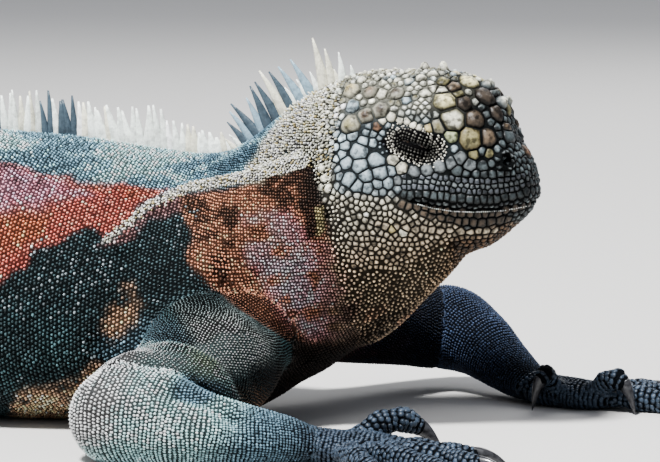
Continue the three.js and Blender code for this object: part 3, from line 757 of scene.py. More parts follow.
def evened(values, pairs, weight, rounds):
    # Draws each value towards the mean of its neighbours, by a weight for each point
    count = np.bincount(pairs.ravel(), minlength=len(values))[:, None]
    near = weight > 0.001
    values = values.copy()
    for _ in range(rounds):
        total = np.zeros_like(values)
        np.add.at(total, pairs[:, 0], values[pairs[:, 1]])
        np.add.at(total, pairs[:, 1], values[pairs[:, 0]])
        middle = total / np.maximum(count, 1)
        values[near] += weight[near, None] * (middle[near] - values[near])
    return values


def gapTo(loft, points, chosen, most):
    # Millimetres from the chosen points to one loft, up to a limit
    tree = BVHTree.FromPolygons(loft[0].tolist(), loft[1].tolist())
    gap = np.full(len(points), float(most))
    for i in np.where(chosen)[0]:
        found = tree.find_nearest(points[i], most * mm)
        if found[0] is not None:
            gap[i] = found[3] / mm
    return gap


def swellJoins(points, faces, lofts):
    # Fills the crease between a leg and the body, and inside an elbow or knee
    reach = skin["shoulderBlend"]
    swell = np.zeros(len(points))
    for name in legs:
        corners = np.concatenate([lofts[f"{name}_{k}"][0] for k in (0, 1)])
        low, high = corners.min(0) - reach * mm, corners.max(0) + reach * mm
        chosen = ((points > low) & (points < high)).all(1)
        fromBody, fromUpper, fromLower = (gapTo(lofts[key], points, chosen, 1.4 * reach)
                                          for key in ("body", name + "_0", name + "_1"))
        # A shoulder runs smoothly into the flank, and stands off from the neck
        onNeck = ease(unbend(points)[:, 0], -6, 12)
        shoulder = reach * (1.35 - 0.95 * onNeck) if name.startswith("fore") else reach
        for a, b, size in ((fromBody, fromUpper, shoulder), (fromUpper, fromLower, skin["elbowBlend"])):
            fill = np.maximum(size - a - b, 0) ** 2 / (4 * size)
            swell = np.maximum(swell, fill * (np.minimum(a, b) < 0.05))
    pairs = edgesOf(faces)
    outward = unit(evened(vertexNormals(points, faces), pairs, np.where(swell > 0, 0.9, 0), 12))
    return points + outward * swell[:, None] * mm


def smoothJoins(points, faces, lofts):
    # Softens the skin where a leg meets the body, and where digits meet the sole
    loose = np.concatenate([loft[0] for loft in lofts.values()])
    known = treeOf(loose)
    fresh = [p for p in points if known.find(p)[2] > 2e-6]
    joins = treeOf(fresh)
    far = np.array([joins.find(p)[2] for p in points]) / mm
    straight = unbend(points)
    reach = np.where(np.abs(straight[:, 1]) < 62, skin["blendReach"], 2.0)
    weight = ease(-far / reach, -1, 0) * 0.6
    swollen = swellJoins(points, faces, lofts)
    print("joins smoothed:", len(fresh), "new points")
    return toGround(evened(swollen, edgesOf(faces), weight, 30))


def pressArm(points, faces):
    # The near elbow's dome and the folds round it, on the side that the photo shows
    outward = vertexNormals(points, faces)
    spots = photoPoint(points)
    seen = ease(-(outward @ intoView), 0.05, 0.5) * (unbend(points)[:, 1] < -12)
    push = skin["domePush"] * zone(spots, armDome, 5) * ease(-spots[:, 1], *skin["domeFade"])
    push -= creaseDepth(spots, armFolds, 0.15)
    return toGround(points + outward * (push * seen)[:, None] * mm)


skinPiece, joinedPoints, skinFaces, skinLofts = buildSkin()
skinPoints = smoothJoins(joinedPoints, skinFaces, skinLofts)
skinPoints = pressArm(skinPoints, skinFaces)
skinNormals = vertexNormals(skinPoints, skinFaces)
skinTree = BVHTree.FromPolygons(skinPoints.tolist(), skinFaces.tolist())
joinedTree = BVHTree.FromPolygons(joinedPoints.tolist(), skinFaces.tolist())
joinedNormals = vertexNormals(joinedPoints, skinFaces)


def settle(points, ahead, deepest=2.1):
    # Brings points near the joined skin onto it, and drops those that another part of the body covers
    places, _, faces, gaps = zip(*(joinedTree.find_nearest(p) for p in points.tolist()))
    corners = skinFaces[list(faces)]
    place = np.array(places)
    a, b, c = (joinedPoints[corners[:, k]] for k in range(3))
    normal = np.cross(b - a, c - a)
    area = (normal ** 2).sum(1)
    second = (np.cross(place - a, c - a) * normal).sum(1) / area
    third = (np.cross(b - a, place - a) * normal).sum(1) / area
    share = np.clip(np.stack([1 - second - third, second, third], axis=1), 0, 1)[..., None]
    depth = ((place - points) * joinedNormals[corners].mean(1)).sum(1)
    spot = (skinPoints[corners] * share).sum(1)
    up = unit((skinNormals[corners] * share).sum(1))
    kept = (depth < deepest * mm) & (np.array(gaps) < 3.4 * mm) & (spot[:, 2] > 0.0002)
    kept &= np.linalg.norm(spot - place, axis=1) < 12 * mm
    return {"point": spot, "up": up, "ahead": flattened(ahead, up)}, kept


# Markings, the same for the skin and every scale

def paint(red, green, blue):
    value = np.array([red, green, blue]) / 255
    return np.where(value <= 0.04045, value / 12.92, ((value + 0.055) / 1.055) ** 2.4)


colours = {
    "blueBlack": (46, 60, 63),
    "greenBlack": (84, 120, 124),
    "slate": (172, 212, 226),
    "darkSlate": (74, 98, 112),
    "red": (206, 108, 96),
    "pink": (232, 148, 166),
    "rust": (182, 112, 78),
    "plum": (128, 96, 96),
    "redBrown": (170, 118, 94),
    "rose": (238, 158, 164),
    "mauve": (232, 180, 190),
    # earth: dark mottling, and also painted shade under the body, in the ear and in the armpit
    "earth": (50, 36, 28),
    # bead: painted highlight on the tips of the shoulder's dark scales
    "bead": (148, 152, 152),
    "tan": (176, 140, 112),
    "cream": (222, 220, 202),
    "white": (236, 242, 236),
    "ochre": (190, 176, 132),
    "cheek": (206, 200, 182),
    "throat": (186, 162, 132),
    "tanBrown": (128, 98, 70),
    "umber": (88, 68, 52),
    "coldGrey": (152, 166, 172),
    "midGrey": (124, 130, 132),
    "lipGrey": (84, 92, 94),
    "inkBlue": (34, 38, 44),
    "plumBlack": (40, 34, 42),
    "turquoise": (192, 230, 229),
    "paleTurquoise": (228, 246, 242),
    "armBlue": (108, 134, 148),
    "handBlack": (52, 62, 74),
    "navy": (50, 62, 84),
    "purpleRed": (96, 58, 66),
    "yellowGreen": (176, 184, 146),
    # glint: painted highlight on a few dark scales
    "glint": (200, 216, 222),
    "rustBrown": (126, 98, 80),
    "olive": (138, 132, 98),
    "umberLight": (112, 98, 82),
    "earthGrey": (74, 66, 58),
    "paleYellow": (222, 214, 168),
    "plumBead": (58, 53, 56),
    "lidTip": (226, 222, 210),
    "labial": (70, 74, 72),
    "lipBrown": (112, 98, 84),
    "lilacHighlight": (104, 108, 114),
    "creamBrown": (206, 192, 168),
    "spineBlue": (140, 164, 178),
    "spineSlate": (74, 88, 98),
}
colours = {name: paint(*shade) for name, shade in colours.items()}
paleness = {"body": 1.7, "neck": 1.35, "head": 1.0, "leg": 1.4}  # how much lighter each part is painted

# Outlines in photo pixels, on the side that the photo shows
marks = {
    "back": [(-2500, 60), (0, 100), (120, 100), (250, 120), (300, 90), (262, 165), (238, 177), (190, 186),
             (165, 195), (128, 184), (60, 174), (0, 164), (-120, 176), (-2500, 240)],
    "redFlank": [(-560, 190), (-120, 172), (0, 164), (60, 176), (122, 180), (136, 190), (170, 190),
                 (132, 220), (108, 240), (104, 226), (82, 230), (58, 242), (30, 244), (26, 266), (6, 284),
                 (-60, 300), (-200, 286), (-400, 250)],
    "pinkUpper": [(-300, 160), (0, 160), (60, 172), (90, 190), (40, 208), (-80, 212), (-300, 200)],
    "plumBand": [(100, 250), (150, 205), (200, 190), (262, 176), (200, 206), (180, 216), (146, 222),
                 (124, 240)],
    "neckRed": [(182, 196), (232, 182), (268, 172), (305, 168), (330, 240), (352, 290), (372, 330),
                (340, 352), (300, 345), (258, 316), (215, 294), (186, 262), (196, 240), (184, 222)],
    "neckPink": [(240, 212), (290, 208), (318, 232), (360, 278), (352, 330), (318, 348), (284, 320),
                 (262, 290), (248, 262)],
    "mauveLow": [(262, 256), (300, 250), (345, 285), (350, 335), (310, 345), (282, 318)],
    "tanFlank": [(96, 334), (110, 312), (122, 300), (124, 283), (132, 284), (134, 300), (142, 306),
                 (136, 322), (108, 336)],
    "tanBelly": [(20, 396), (52, 384), (92, 372), (104, 368), (98, 384), (86, 396), (70, 420), (10, 424)],
    "greyShoulder": [(98, 330), (140, 322), (180, 326), (200, 344), (150, 350), (110, 372), (96, 350)],
    "beadGlints": [(186, 318), (232, 312), (272, 340), (270, 366), (228, 374), (196, 356)],
    "napeCream": [(240, 178), (258, 158), (282, 118), (300, 96), (318, 84), (340, 80), (344, 110),
                  (336, 140), (330, 196), (320, 186), (304, 152), (292, 168), (262, 180)],
    "earShade": [(299, 160), (306, 150), (316, 166), (322, 196), (330, 214), (318, 238), (306, 240),
                (302, 216), (296, 192), (292, 172)],
    "earFlake": [(314, 206), (323, 205), (325, 232), (318, 238)],
    "earFlaps": [(318, 160), (330, 158), (336, 184), (330, 196), (322, 188)],
    "lips": [(404, 196), (430, 188), (470, 186), (500, 180), (545, 176), (545, 216), (500, 224),
             (470, 232), (440, 218), (408, 208)],
    "darkSnout": [(448, 170), (470, 150), (480, 128), (470, 110), (482, 92), (500, 78), (560, 90),
                  (560, 220), (500, 200), (455, 192)],
    "eyeDark": [(378, 142), (392, 130), (414, 127), (436, 133), (448, 146), (438, 158), (414, 163),
                (390, 157)],
    "chin": [(448, 232), (488, 232), (545, 212), (545, 270), (455, 270)],
    "creamJaw": [(384, 214), (412, 222), (440, 226), (494, 228), (486, 236), (440, 240), (396, 234)],
    "browPlates": [(404, 100), (432, 100), (432, 119), (404, 119)],
    "cheekPlates": [(338, 126), (396, 150), (404, 190), (340, 186)],
    "snoutPlates": [(455, 70), (500, 80), (540, 130), (545, 180), (490, 180), (455, 150)],
    "cheekGrey": [(336, 120), (400, 150), (446, 168), (452, 188), (404, 196), (352, 196), (334, 190)],
}

# Soft edges in photo pixels, where a marking or a size of plate comes in. A pair below zero is read
# against the coordinate with its sign turned, so the marking fades out there.
fades = {
    "flankLow": (280, 350), "flankBack": (-110, 0), "neckFoot": (170, 215), "redTop": (-235, -190),
    "throatTop": (176, 200), "cheekEdge": (318, 352), "throatSlope": (300, 360),
    "throatFront": (590, 625), "neckSide": (-372, -330), "neckRose": (236, 270),
    "throatSpeck": (282, 318), "throatBrown": (290, 320), "undersideShade": (326, 350),
    "underbellyShade": (346, 358), "crownLow": (-180, -150), "crownTop": (-128, -104), "cheekTop": (120, 134),
    "cheekFront": (395, 440), "snoutTop": (-150, -120), "stripeEnd": (98, 108),
    "shoulderTop": (-322, -282), "armpit": (240, 262), "armpitLow": (352, 376), "elbowLitSide": (-346, -290),
    "elbowGreen": (168, 204), "elbowGreenTop": (-392, -362), "foldFrom": (226, 240),
    "foldTo": (-272, -258), "foldLow": (378, 396), "wristBlue": (185, 262), "armLow": (430, 470),
    "wrist": (262, 326), "jawPlates": (188, 205), "throatPlates": (232, 258), "lowPlates": (262, 296),
    "behindJaw": (-352, -334), "behindJawLow": (196, 215), "chinFront": (640, 665), "chinLow": (232, 250),
    "chinFrom": (448, 465), "chinTop": (218, 226), "chinEnd": (-262, -250), "lipFrom": (500, 515),
    "lipTop": (148, 158), "lipEnd": (-186, -176), "napePlates": (-338, -322),
    "napePlatesTop": (-190, -170), "snoutDim": (435, 490), "snoutDimTop": (168, 176),
    "crownPlates": (-112, -92),
}


def layers(count):
    shown = np.zeros((count, 3))

    def lay(colour, mask=1.0, shade=1.0):
        share = np.clip(np.broadcast_to(mask, count), 0, 1)[:, None]
        shown[:] = shown + (colours[colour] * shade - shown) * share

    return shown, lay


def marked(straight):
    # The colour of the body, neck and head at points of the straightened body
    folded = foldedOver(straight)
    spots = sideView(straight)
    across, down = spots.T
    ragged = spots + np.stack([roughNoise(folded, 9, 11), roughNoise(folded, 9, 21)], axis=1) * 9
    nearly = spots + np.stack([noise(folded, 4, 31), noise(folded, 4, 41)], axis=1) * 2.5
    wide = roughNoise(folded, 26, 5)
    fine = roughNoise(folded, 5, 7)
    grain = noise(folded, 1.3, 9)
    along = straight[:, 0]
    shown, lay = layers(len(straight))

    def area(name, soft, where=ragged):
        return zone(where, marks[name], soft)

    lay("blueBlack")
    low = ease(down, *fades["flankLow"]) * ease(-across, *fades["flankBack"])
    lay("greenBlack", 0.75 * low * ease(wide, -0.5, 0.3))
    lay("greenBlack", 0.5 * ease(-along, 180, 260) * ease(fine, -0.2, 0.5))
    back = area("back", 5)
    lay("slate", 0.95 * back * ease(-along, -40, 10))
    lay("darkSlate", 0.8 * back * ease(wide + 0.5 * fine, -0.05, 0.55))
    lay("darkSlate", 0.9 * back * ease(across, *fades["neckFoot"]) * ease(fine, -0.5, 0.4))
    lay("darkSlate", 0.7 * back * ease(-along, 190, 260))
    red = area("redFlank", 4) * (1 - ease(-along, 150, 230) * ease(fine + wide, -0.7, 0.3))
    lay("red", red)
    lay("rust", 0.75 * red * ease(wide - 0.3 * fine, 0.0, 0.45))
    lay("pink", 0.9 * red * area("pinkUpper", 12))
    lay("blueBlack", 0.8 * red * ease(fine, 0.42, 0.62) * ease(-down, *fades["redTop"]))
    lay("plum", area("plumBand", 4) * ease(-along, -20, 5))
    neckRed = area("neckRed", 4)
    lay("redBrown", neckRed)
    neckPink = area("neckPink", 8)
    lay("rose", 0.85 * neckPink * ease(wide + fine, -0.5, 0.4))
    lay("mauve", 0.9 * area("mauveLow", 8) * ease(fine, -0.5, 0.35))
    lay("earth", 0.9 * neckRed * (1 - 0.62 * neckPink) * ease(fine + 0.6 * wide + 0.35 * grain, 0.08, 0.36))
    # Painted highlights on the tips of the shoulder's dark scales
    lay("bead", 0.2 * (1 - neckRed) * zone(spots, marks["beadGlints"], 16))
    lay("armBlue", 0.45 * area("greyShoulder", 12))
    lay("tan", area("tanFlank", 9) * ease(fine + 0.5 * grain, -0.5, 0.25))
    lay("tan", 0.9 * area("tanBelly", 7) * ease(fine, -0.6, 0.1), 1.8)
    # The throat runs from cream beads on the cheek to brown at its front and lower edge
    throat = ease(along, 22, 34) * ease(down, *fades["throatTop"])
    lay("cheek", throat * (1 - neckRed * (1 - ease(across, *fades["cheekEdge"]))))
    lay("throat", 0.8 * throat * ease(down + 0.25 * across, *fades["throatSlope"]))
    lay("tanBrown", 0.85 * throat * ease(across + 0.62 * down, *fades["throatFront"]))
    low = ease(-across, *fades["neckSide"]) * ease(down, *fades["neckRose"])
    lay("rose", 0.5 * throat * low * ease(fine, -0.4, 0.4))
    lay("earth", 0.75 * throat * ease(down, *fades["throatSpeck"]) * ease(fine + 0.4 * grain, -0.35, 0.25))
    lay("redBrown", 0.5 * throat * ease(down, *fades["throatBrown"]) * ease(-fine, 0.05, 0.4))
    # Painted shade under the chest and along the lower edge of the belly
    lay("earth", ease(down, *fades["undersideShade"]) * ease(along, 0, 20))
    lay("earth", ease(down, *fades["underbellyShade"]) * ease(along, -30, -10), 0.3)
    lay("umber", 0.9 * area("chin", 5, nearly))
    lay("creamBrown", 0.7 * area("creamJaw", 4, nearly))
    nape = area("napeCream", 5)
    lay("cream", nape * ease(fine + 0.4 * grain, -0.95, -0.35))
    lay("ochre", 0.6 * nape * ease(fine + wide, 0.25, 0.7))
    # Painted shade in the ear's hollow and fold
    lay("earth", 0.92 * area("earShade", 3, nearly))
    lay("cream", area("earFlaps", 3, nearly))
    lay("ochre", area("earFlake", 2, nearly))
    crown = ease(along, 24, 32) * ease(-down, *fades["crownLow"])
    lay("coldGrey", crown)
    lay("cream", 0.85 * crown * ease(-down, *fades["crownTop"]) * ease(fine, -0.8, -0.1))
    cheek, snout, lips = area("cheekGrey", 6, nearly), area("darkSnout", 6, nearly), area("lips", 3, nearly)
    lay("coldGrey", 0.95 * cheek * ease(down, *fades["cheekTop"]))
    lay("midGrey", 0.7 * cheek * ease(across, *fades["cheekFront"]))
    lay("lipGrey", 0.95 * snout)
    lay("umber", 0.55 * snout * ease(fine + wide, -0.1, 0.4) * ease(-down, *fades["snoutTop"]))
    lay("lipGrey", 0.95 * lips)
    lay("inkBlue", 0.6 * lips * ease(fine, -0.2, 0.4))
    lay("plumBlack", area("eyeDark", 3, nearly))
    far, share = lineDistance(ragged * 0.3 + nearly * 0.7, stripeLine)
    stripeWidth = np.interp(share, [0, 0.3, 0.7, 1], [8, 4.5, 2.8, 2])
    lay("white", ease(stripeWidth - far, -1.5, 1.5) * ease(across, *fades["stripeEnd"]))
    shade = 1 + 0.22 * grain + 0.16 * fine
    shade *= paleness["body"] + (paleness["head"] - paleness["body"]) * ease(along, 14, 30)
    shade *= 1 + (paleness["neck"] - 1) * neckRed * (1 - throat)
    return np.clip(shown * shade[:, None], 0, 1)


def markedLeg(name, place, share):
    # place is in millimetres, and share runs from the shoulder or hip (0) to the toes (3)
    grain, fine = noise(place, 1.3, 9), roughNoise(place, 5, 7)
    shown, lay = layers(len(place))

    lay("handBlack")
    if name == "foreleg_right":
        spots = photoPoint((place + frameShift) * mm)
        ragged = spots + (fine * 4)[:, None]
        across, down = spots.T
        upper = ease(-share, -1.02, -0.98)
        dome = zone(ragged, armDome, 3)
        lay("greenBlack", upper, 0.7)
        lay("blueBlack", upper * ease(-down, *fades["shoulderTop"]))
        # Painted highlights on the tips of the shoulder's dark scales
        lay("white", 0.75 * upper * zone(spots, marks["beadGlints"], 14))
        lay("redBrown", upper * zone(ragged, marks["neckRed"], 4))
        lay("rose", 0.8 * upper * zone(ragged, marks["neckPink"], 8))
        lay("armBlue", 0.6 * upper * zone(ragged, marks["greyShoulder"], 6))
        lay("tan", 0.5 * upper * zone(ragged, marks["tanFlank"], 6))
        # Painted shade in the armpit, between the upper arm and the throat
        lay("earth", upper * ease(across, *fades["armpit"]) * ease(down, *fades["armpitLow"]), 0.5)
        lay("turquoise", np.maximum(dome, 1 - upper))
        # Painted light on the dome's upper left side
        lay("paleTurquoise", np.maximum(dome, 1 - upper) * ease(-across - 0.5 * down, *fades["elbowLitSide"]))
        # Painted shade on the dome's lower right, along the elbow's crease
        lay("armBlue", dome * ease(-((across - 196) / 34) ** 2 - ((down - 392) / 16) ** 2, -1, -0.2))
        elbow = ease(across, *fades["elbowGreen"]) * ease(-down, *fades["elbowGreenTop"])
        lay("yellowGreen", 0.8 * dome * elbow)
        fold = ease(across, *fades["foldFrom"]) * ease(-across, *fades["foldTo"])
        lay("tan", 0.5 * upper * fold * ease(down, *fades["foldLow"]))
        lay("armBlue", (1 - upper) * ease(across + 0.4 * (down - 430), *fades["wristBlue"]))
        lay("armBlue", 0.5 * (1 - upper) * ease(down, *fades["armLow"]))
        lay("handBlack", ease(across, *fades["wrist"]) * (1 - upper))
    elif name == "foreleg_left":
        lay("navy")
        lay("purpleRed", 0.8 * ease(-share, -0.62, -0.35) * ease(fine, -0.5, 0.2))
        lay("tanBrown", 0.5 * ease(-share, -0.4, -0.1) * ease(-place[:, 2], -30, -18))
        lay("handBlack", ease(share, 1.5, 2.1))
    else:
        lay("blueBlack", ease(-share, -0.5, -0.1))
        lay("armBlue", 0.7 * ease(share, 0.35, 0.8) * ease(-share, -1.9, -1.5) * ease(place[:, 2], 14, 34))
        lay("turquoise", 0.5 * ease(share, 0.6, 0.9) * ease(-share, -1.6, -1.2) * ease(place[:, 2], 30, 44))
        lay("red", 0.55 * ease(-share, -0.7, -0.3) * ease(fine, 0.0, 0.5))
    shade = (1 + 0.2 * grain + 0.16 * fine) * paleness["leg"]
    return np.clip(shown * shade[:, None], 0, 1)


# Node trees. A Wire is a socket that takes part in sums written as plain Python.

class Wire:
    def __init__(self, graph, socket):
        self.graph = graph
        self.socket = socket

    def math(self, operation, *values):
        sockets = dict(enumerate((self, *values)))
        return self.graph.node("ShaderNodeMath", {"operation": operation}, sockets)

    def __add__(self, other):
        return self.math("ADD", other)

    def __sub__(self, other):
        return self.math("SUBTRACT", other)

    def __mul__(self, other):
        return self.math("MULTIPLY", other)

    def __pow__(self, other):
        return self.math("POWER", other)

    def __rsub__(self, other):
        return (self * -1) + other

    __radd__ = __add__
    __rmul__ = __mul__

    def output(self, name):
        # Another output of the same node
        return Wire(self.graph, findSocket(self.socket.node.outputs, name))


def findSocket(sockets, key):
    if isinstance(key, int):
        return sockets[key]
    named = [s for s in sockets if s.name == key and s.enabled] or [s for s in sockets if s.identifier == key]
    return named[0]


class Graph:
    def __init__(self, tree):
        self.tree = tree

    def node(self, kind, settings=None, sockets=None, out=0):
        made = self.tree.nodes.new(kind)
        for key, value in (settings or {}).items():
            if key == "stops":
                ramp = made.color_ramp
                for i, (place, shade) in enumerate(value):
                    stop = ramp.elements[i] if i < 2 else ramp.elements.new(place)
                    stop.position = place
                    stop.color = (*shade, 1)
            else:
                setattr(made, key, value)
        self.fill(made.inputs, sockets or {})
        return Wire(self, findSocket(made.outputs, out))

    def fill(self, inputs, values):
        # Sets or joins the sockets of a node
        for key, value in values.items():
            socket = findSocket(inputs, key)
            if isinstance(value, Wire):
                self.tree.links.new(value.socket, socket)
            else:
                socket.default_value = value

    def surface(self, values):
        self.fill(self.tree.nodes["Principled BSDF"].inputs, values)

    def scaled(self, vector, factor):
        return self.node("ShaderNodeVectorMath", {"operation": "SCALE"}, {0: vector, "Scale": factor})

    def stored(self, form, name, kind, value, domain="POINT"):
        return self.node("GeometryNodeStoreNamedAttribute", {"data_type": kind, "domain": domain},
                         {"Geometry": form, "Name": name, "Value": value})

    def grain(self, scale, detail):
        where = self.node("ShaderNodeTexCoord", out="Object")
        sockets = {"Vector": where, "Scale": scale, "Detail": detail}
        return self.node("ShaderNodeTexNoise", None, sockets, out="Fac")

    def attribute(self, name, kind="FLOAT"):
        if self.tree.type == "SHADER":
            out = "Fac" if kind == "FLOAT" else "Color"
            return self.node("ShaderNodeAttribute", {"attribute_name": name}, out=out)
        settings = {"data_type": kind}
        return self.node("GeometryNodeInputNamedAttribute", settings, {"Name": name}, out="Attribute")


def newMaterial(name):
    material = bpy.data.materials.new(name)
    material.use_nodes = True
    return material, Graph(material.node_tree)


# One tree plants copies of a small closed form on points: a cone of a few sides, bulged and leaning back.
# Each point carries its outward and backward direction, its sizes, its colour and its place on the unwrap.

plantInputs = [
    ("Sides", "INT", 6), ("Rings", "INT", 1), ("Top", "FLOAT", 0.0), ("Bulge", "FLOAT", 0.0),
    ("Lean", "FLOAT", 0.3), ("Sunk", "FLOAT", 0.3), ("Wobble", "FLOAT", 0.1), ("Seed", "INT", 1),
    ("Patch", "FLOAT", 0.0015),
]


def plantTree():
    tree = bpy.data.node_groups.new("plantForms", "GeometryNodeTree")
    face = tree.interface
    face.new_socket("Geometry", in_out="INPUT", socket_type="NodeSocketGeometry")
    for name, kind, value in plantInputs:
        socket = face.new_socket(name, in_out="INPUT", socket_type="NodeSocket" + kind.title())
        socket.default_value = value
    face.new_socket("Material", in_out="INPUT", socket_type="NodeSocketMaterial")
    face.new_socket("Geometry", in_out="OUTPUT", socket_type="NodeSocketGeometry")
    graph = Graph(tree)
    wanted = graph.node("NodeGroupInput").output
    cone = graph.node("GeometryNodeMeshCone", {"fill_type": "NGON"}, {
        "Vertices": wanted("Sides"), "Side Segments": wanted("Rings"), "Radius Top": wanted("Top"),
        "Radius Bottom": 1.0, "Depth": 1.0})
    place = graph.node("ShaderNodeSeparateXYZ", None, {"Vector": graph.node("GeometryNodeInputPosition")})
    x, y, z = (place.output(axis) for axis in "XYZ")
    wide = 1 + wanted("Bulge") * 4 * z * (1 - z)
    shaped = graph.node("ShaderNodeCombineXYZ", None, {
        "X": x * wide - wanted("Lean") * z * z, "Y": y * wide, "Z": z - wanted("Sunk")})
    form = graph.stored(cone, "lift", "FLOAT", z)
    patch = graph.node("ShaderNodeCombineXYZ", None, {"X": x, "Y": y})
    form = graph.stored(form, "patch", "FLOAT_VECTOR", patch)
    form = graph.node("GeometryNodeSetPosition", None, {"Geometry": form, "Position": shaped})
    form = graph.node("GeometryNodeSetShadeSmooth", None, {"Geometry": form, "Shade Smooth": True})
    turn = graph.node("FunctionNodeAxesToRotation", {"primary_axis": "Z", "secondary_axis": "X"}, {
        "Primary Axis": graph.attribute("up", "FLOAT_VECTOR"),
        "Secondary Axis": graph.attribute("ahead", "FLOAT_VECTOR")})
    shake = graph.node("FunctionNodeRandomValue", {"data_type": "FLOAT_VECTOR"}, {
        "Min": (-1, -1, -1.6), "Max": (1, 1, 1.6), "Seed": wanted("Seed")})
    shake = graph.node("FunctionNodeEulerToRotation", None, {"Euler": graph.scaled(shake, wanted("Wobble"))})
    turn = graph.node("FunctionNodeRotateRotation", {"rotation_space": "LOCAL"}, {
        "Rotation": turn, "Rotate By": shake})
    planted = graph.node("GeometryNodeInstanceOnPoints", None, {
        "Points": wanted("Geometry"), "Instance": form, "Rotation": turn,
        "Scale": graph.attribute("size", "FLOAT_VECTOR")})
    solid = graph.node("GeometryNodeRealizeInstances", None, {"Geometry": planted})
    spread = graph.node("ShaderNodeVectorMath", {"operation": "ADD"}, {
        0: graph.attribute("place", "FLOAT_VECTOR"),
        1: graph.scaled(graph.attribute("patch", "FLOAT_VECTOR"), wanted("Patch"))})
    solid = graph.stored(solid, "OFBake", "FLOAT2", spread, "CORNER")
    solid = graph.node("GeometryNodeSetMaterial", None, {"Geometry": solid, "Material": wanted("Material")})
    result = tree.nodes.new("NodeGroupOutput")
    tree.links.new(solid.socket, result.inputs[0])
    return tree


planter = plantTree()


def plant(name, roots, material, shape):
    # roots: point, up, ahead and size in metres, colour, and place on the unwrap
    mesh = bpy.data.meshes.new(name)
    mesh.from_pydata(roots["point"].tolist(), [], [])
    for key in ("up", "ahead", "size", "place"):
        addLayer(mesh, key, "FLOAT_VECTOR", roots[key])
    addTint(mesh, roots["tint"])
    points = linked(name + "Points", mesh)
    modifier = points.modifiers.new("plant", "NODES")
    modifier.node_group = planter
    given = {**shape, "Material": material}
    for item in planter.interface.items_tree:
        if item.in_out == "INPUT" and item.name in given:
            modifier[item.identifier] = given[item.name]
    graph = bpy.context.evaluated_depsgraph_get()
    made = bpy.data.meshes.new_from_object(points.evaluated_get(graph))
    made.name = name
    points.modifiers.remove(modifier)
    bpy.data.objects.remove(points)
    for key in ("up", "ahead", "size", "place", "patch"):
        if key in made.attributes:
            made.attributes.remove(made.attributes[key])
    places = np.zeros(len(made.vertices) * 3)
    made.vertices.foreach_get("co", places)
    made.vertices.foreach_set("co", toGround(places.reshape(-1, 3)).ravel())
    piece = linked(name, made)
    made.calc_loop_triangles()
    print(name, len(roots["point"]), "roots,", len(made.loop_triangles), "triangles")
    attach(piece, "root")


# Roots on the skin

def picked(roots, kept):
    return {key: value[kept] for key, value in roots.items()}


def gathered(parts):
    return {key: np.concatenate([p[key] for p in parts]) for key in parts[0]}


def unwrapPlace(u, v):
    margin = 0.02
    return np.stack([u, v, u * 0], axis=1) * (1 - 2 * margin) + [margin, margin, 0]


def bodyRoots(first, last, pitch, around, tallness, jitter=0.1):
    # Staggered rows of scales round the body; the size follows the skin's own stretch
    rows = rowsBetween(first, last, pitch)
    draw = np.random.default_rng(int(first * 100) + around)
    straight, ahead, size, place = [], [], [], []
    for i, row in enumerate(rows[:-1]):
        share = (np.arange(around) + 0.5 * (i % 2)) / around
        share = share + draw.normal(0, jitter / around, around)
        ring = ringAt(row, share % 1, body["bodyCoat"])
        follow = ringAt(rows[i + 1], share % 1, body["bodyCoat"])
        girth = np.linalg.norm(ring - np.roll(ring, 1, axis=0), axis=1)
        girth = np.clip(girth, 0, 2.2 * np.median(girth))
        step = np.linalg.norm(follow - ring, axis=1)
        ring = ring + (follow - ring) * draw.normal(0, jitter, around)[:, None]
        straight.append(ring)
        ahead.append(ring - follow)
        size.append(np.stack([step, girth, np.minimum(step, girth) * tallness], axis=1))
        place.append(unwrapPlace(np.full(around, i / len(rows)), share % 1))
    straight, ahead = np.concatenate(straight), np.concatenate(ahead)
    bent = bend(straight)
    roots, kept = settle(bent, bend(straight + ahead) - bent)
    roots |= {"size": np.concatenate(size) * mm, "place": np.concatenate(place), "tint": marked(straight),
              "straight": straight}
    return picked(roots, kept)


def limbRoots(name, table, pitch, shareFrom, tallness, inset, seed, band=None):
    # Scales along a leg or digit, in staggered rows that wander a little
    table = np.asarray(table, float)
    runs = np.linspace(0, 1, 200)
    fine, _ = limbCurve(table, runs)
    walked = walkedTo(fine)
    steps = max(3, int(round(walked[-1] / pitch)))
    draw = np.random.default_rng(seed)
    rows = np.interp((np.arange(steps + 1) + 0.5) / steps * walked[-1], walked, runs)
    points, ahead, size, place, shares = [], [], [], [], []
    for i, t in enumerate(rows[:-1]):
        sizes = tableAt(table[:, 3:5], t * (len(table) - 1))[0]
        girth = 2 * np.pi * math.sqrt((sizes[0] ** 2 + sizes[1] ** 2) / 2)
        around = max(6, int(round(girth / (band or pitch))))
        share = (np.arange(around) + 0.5 * (i % 2)) / around + draw.normal(0, 0.09 / around, around)
        (ring, follow), along = limbRings(table, rows[i:i + 2], share, inset)
        step = np.clip(np.linalg.norm(follow - ring, axis=1), 0.6 * pitch, 1.5 * pitch)
        wander = noise(ring, 9, seed) * 0.8 + draw.normal(0, 0.08, around)
        points.append(ring + (follow - ring) * wander[:, None])
        ahead.append(np.repeat(-along[:1], around, axis=0))
        size.append(np.stack([step, np.full(around, girth / around), step * tallness], axis=1))
        place.append(unwrapPlace(np.full(around, i / steps), share % 1))
        shares.append(np.full(around, shareFrom + t))
    points, shares = np.concatenate(points), np.concatenate(shares)
    roots, kept = settle(placeLimb(points), np.concatenate(ahead))
    roots |= {"size": np.concatenate(size) * mm, "place": np.concatenate(place),
              "tint": markedLeg(name, points, shares), "straight": points}
    return picked(roots, kept)


# Finishes

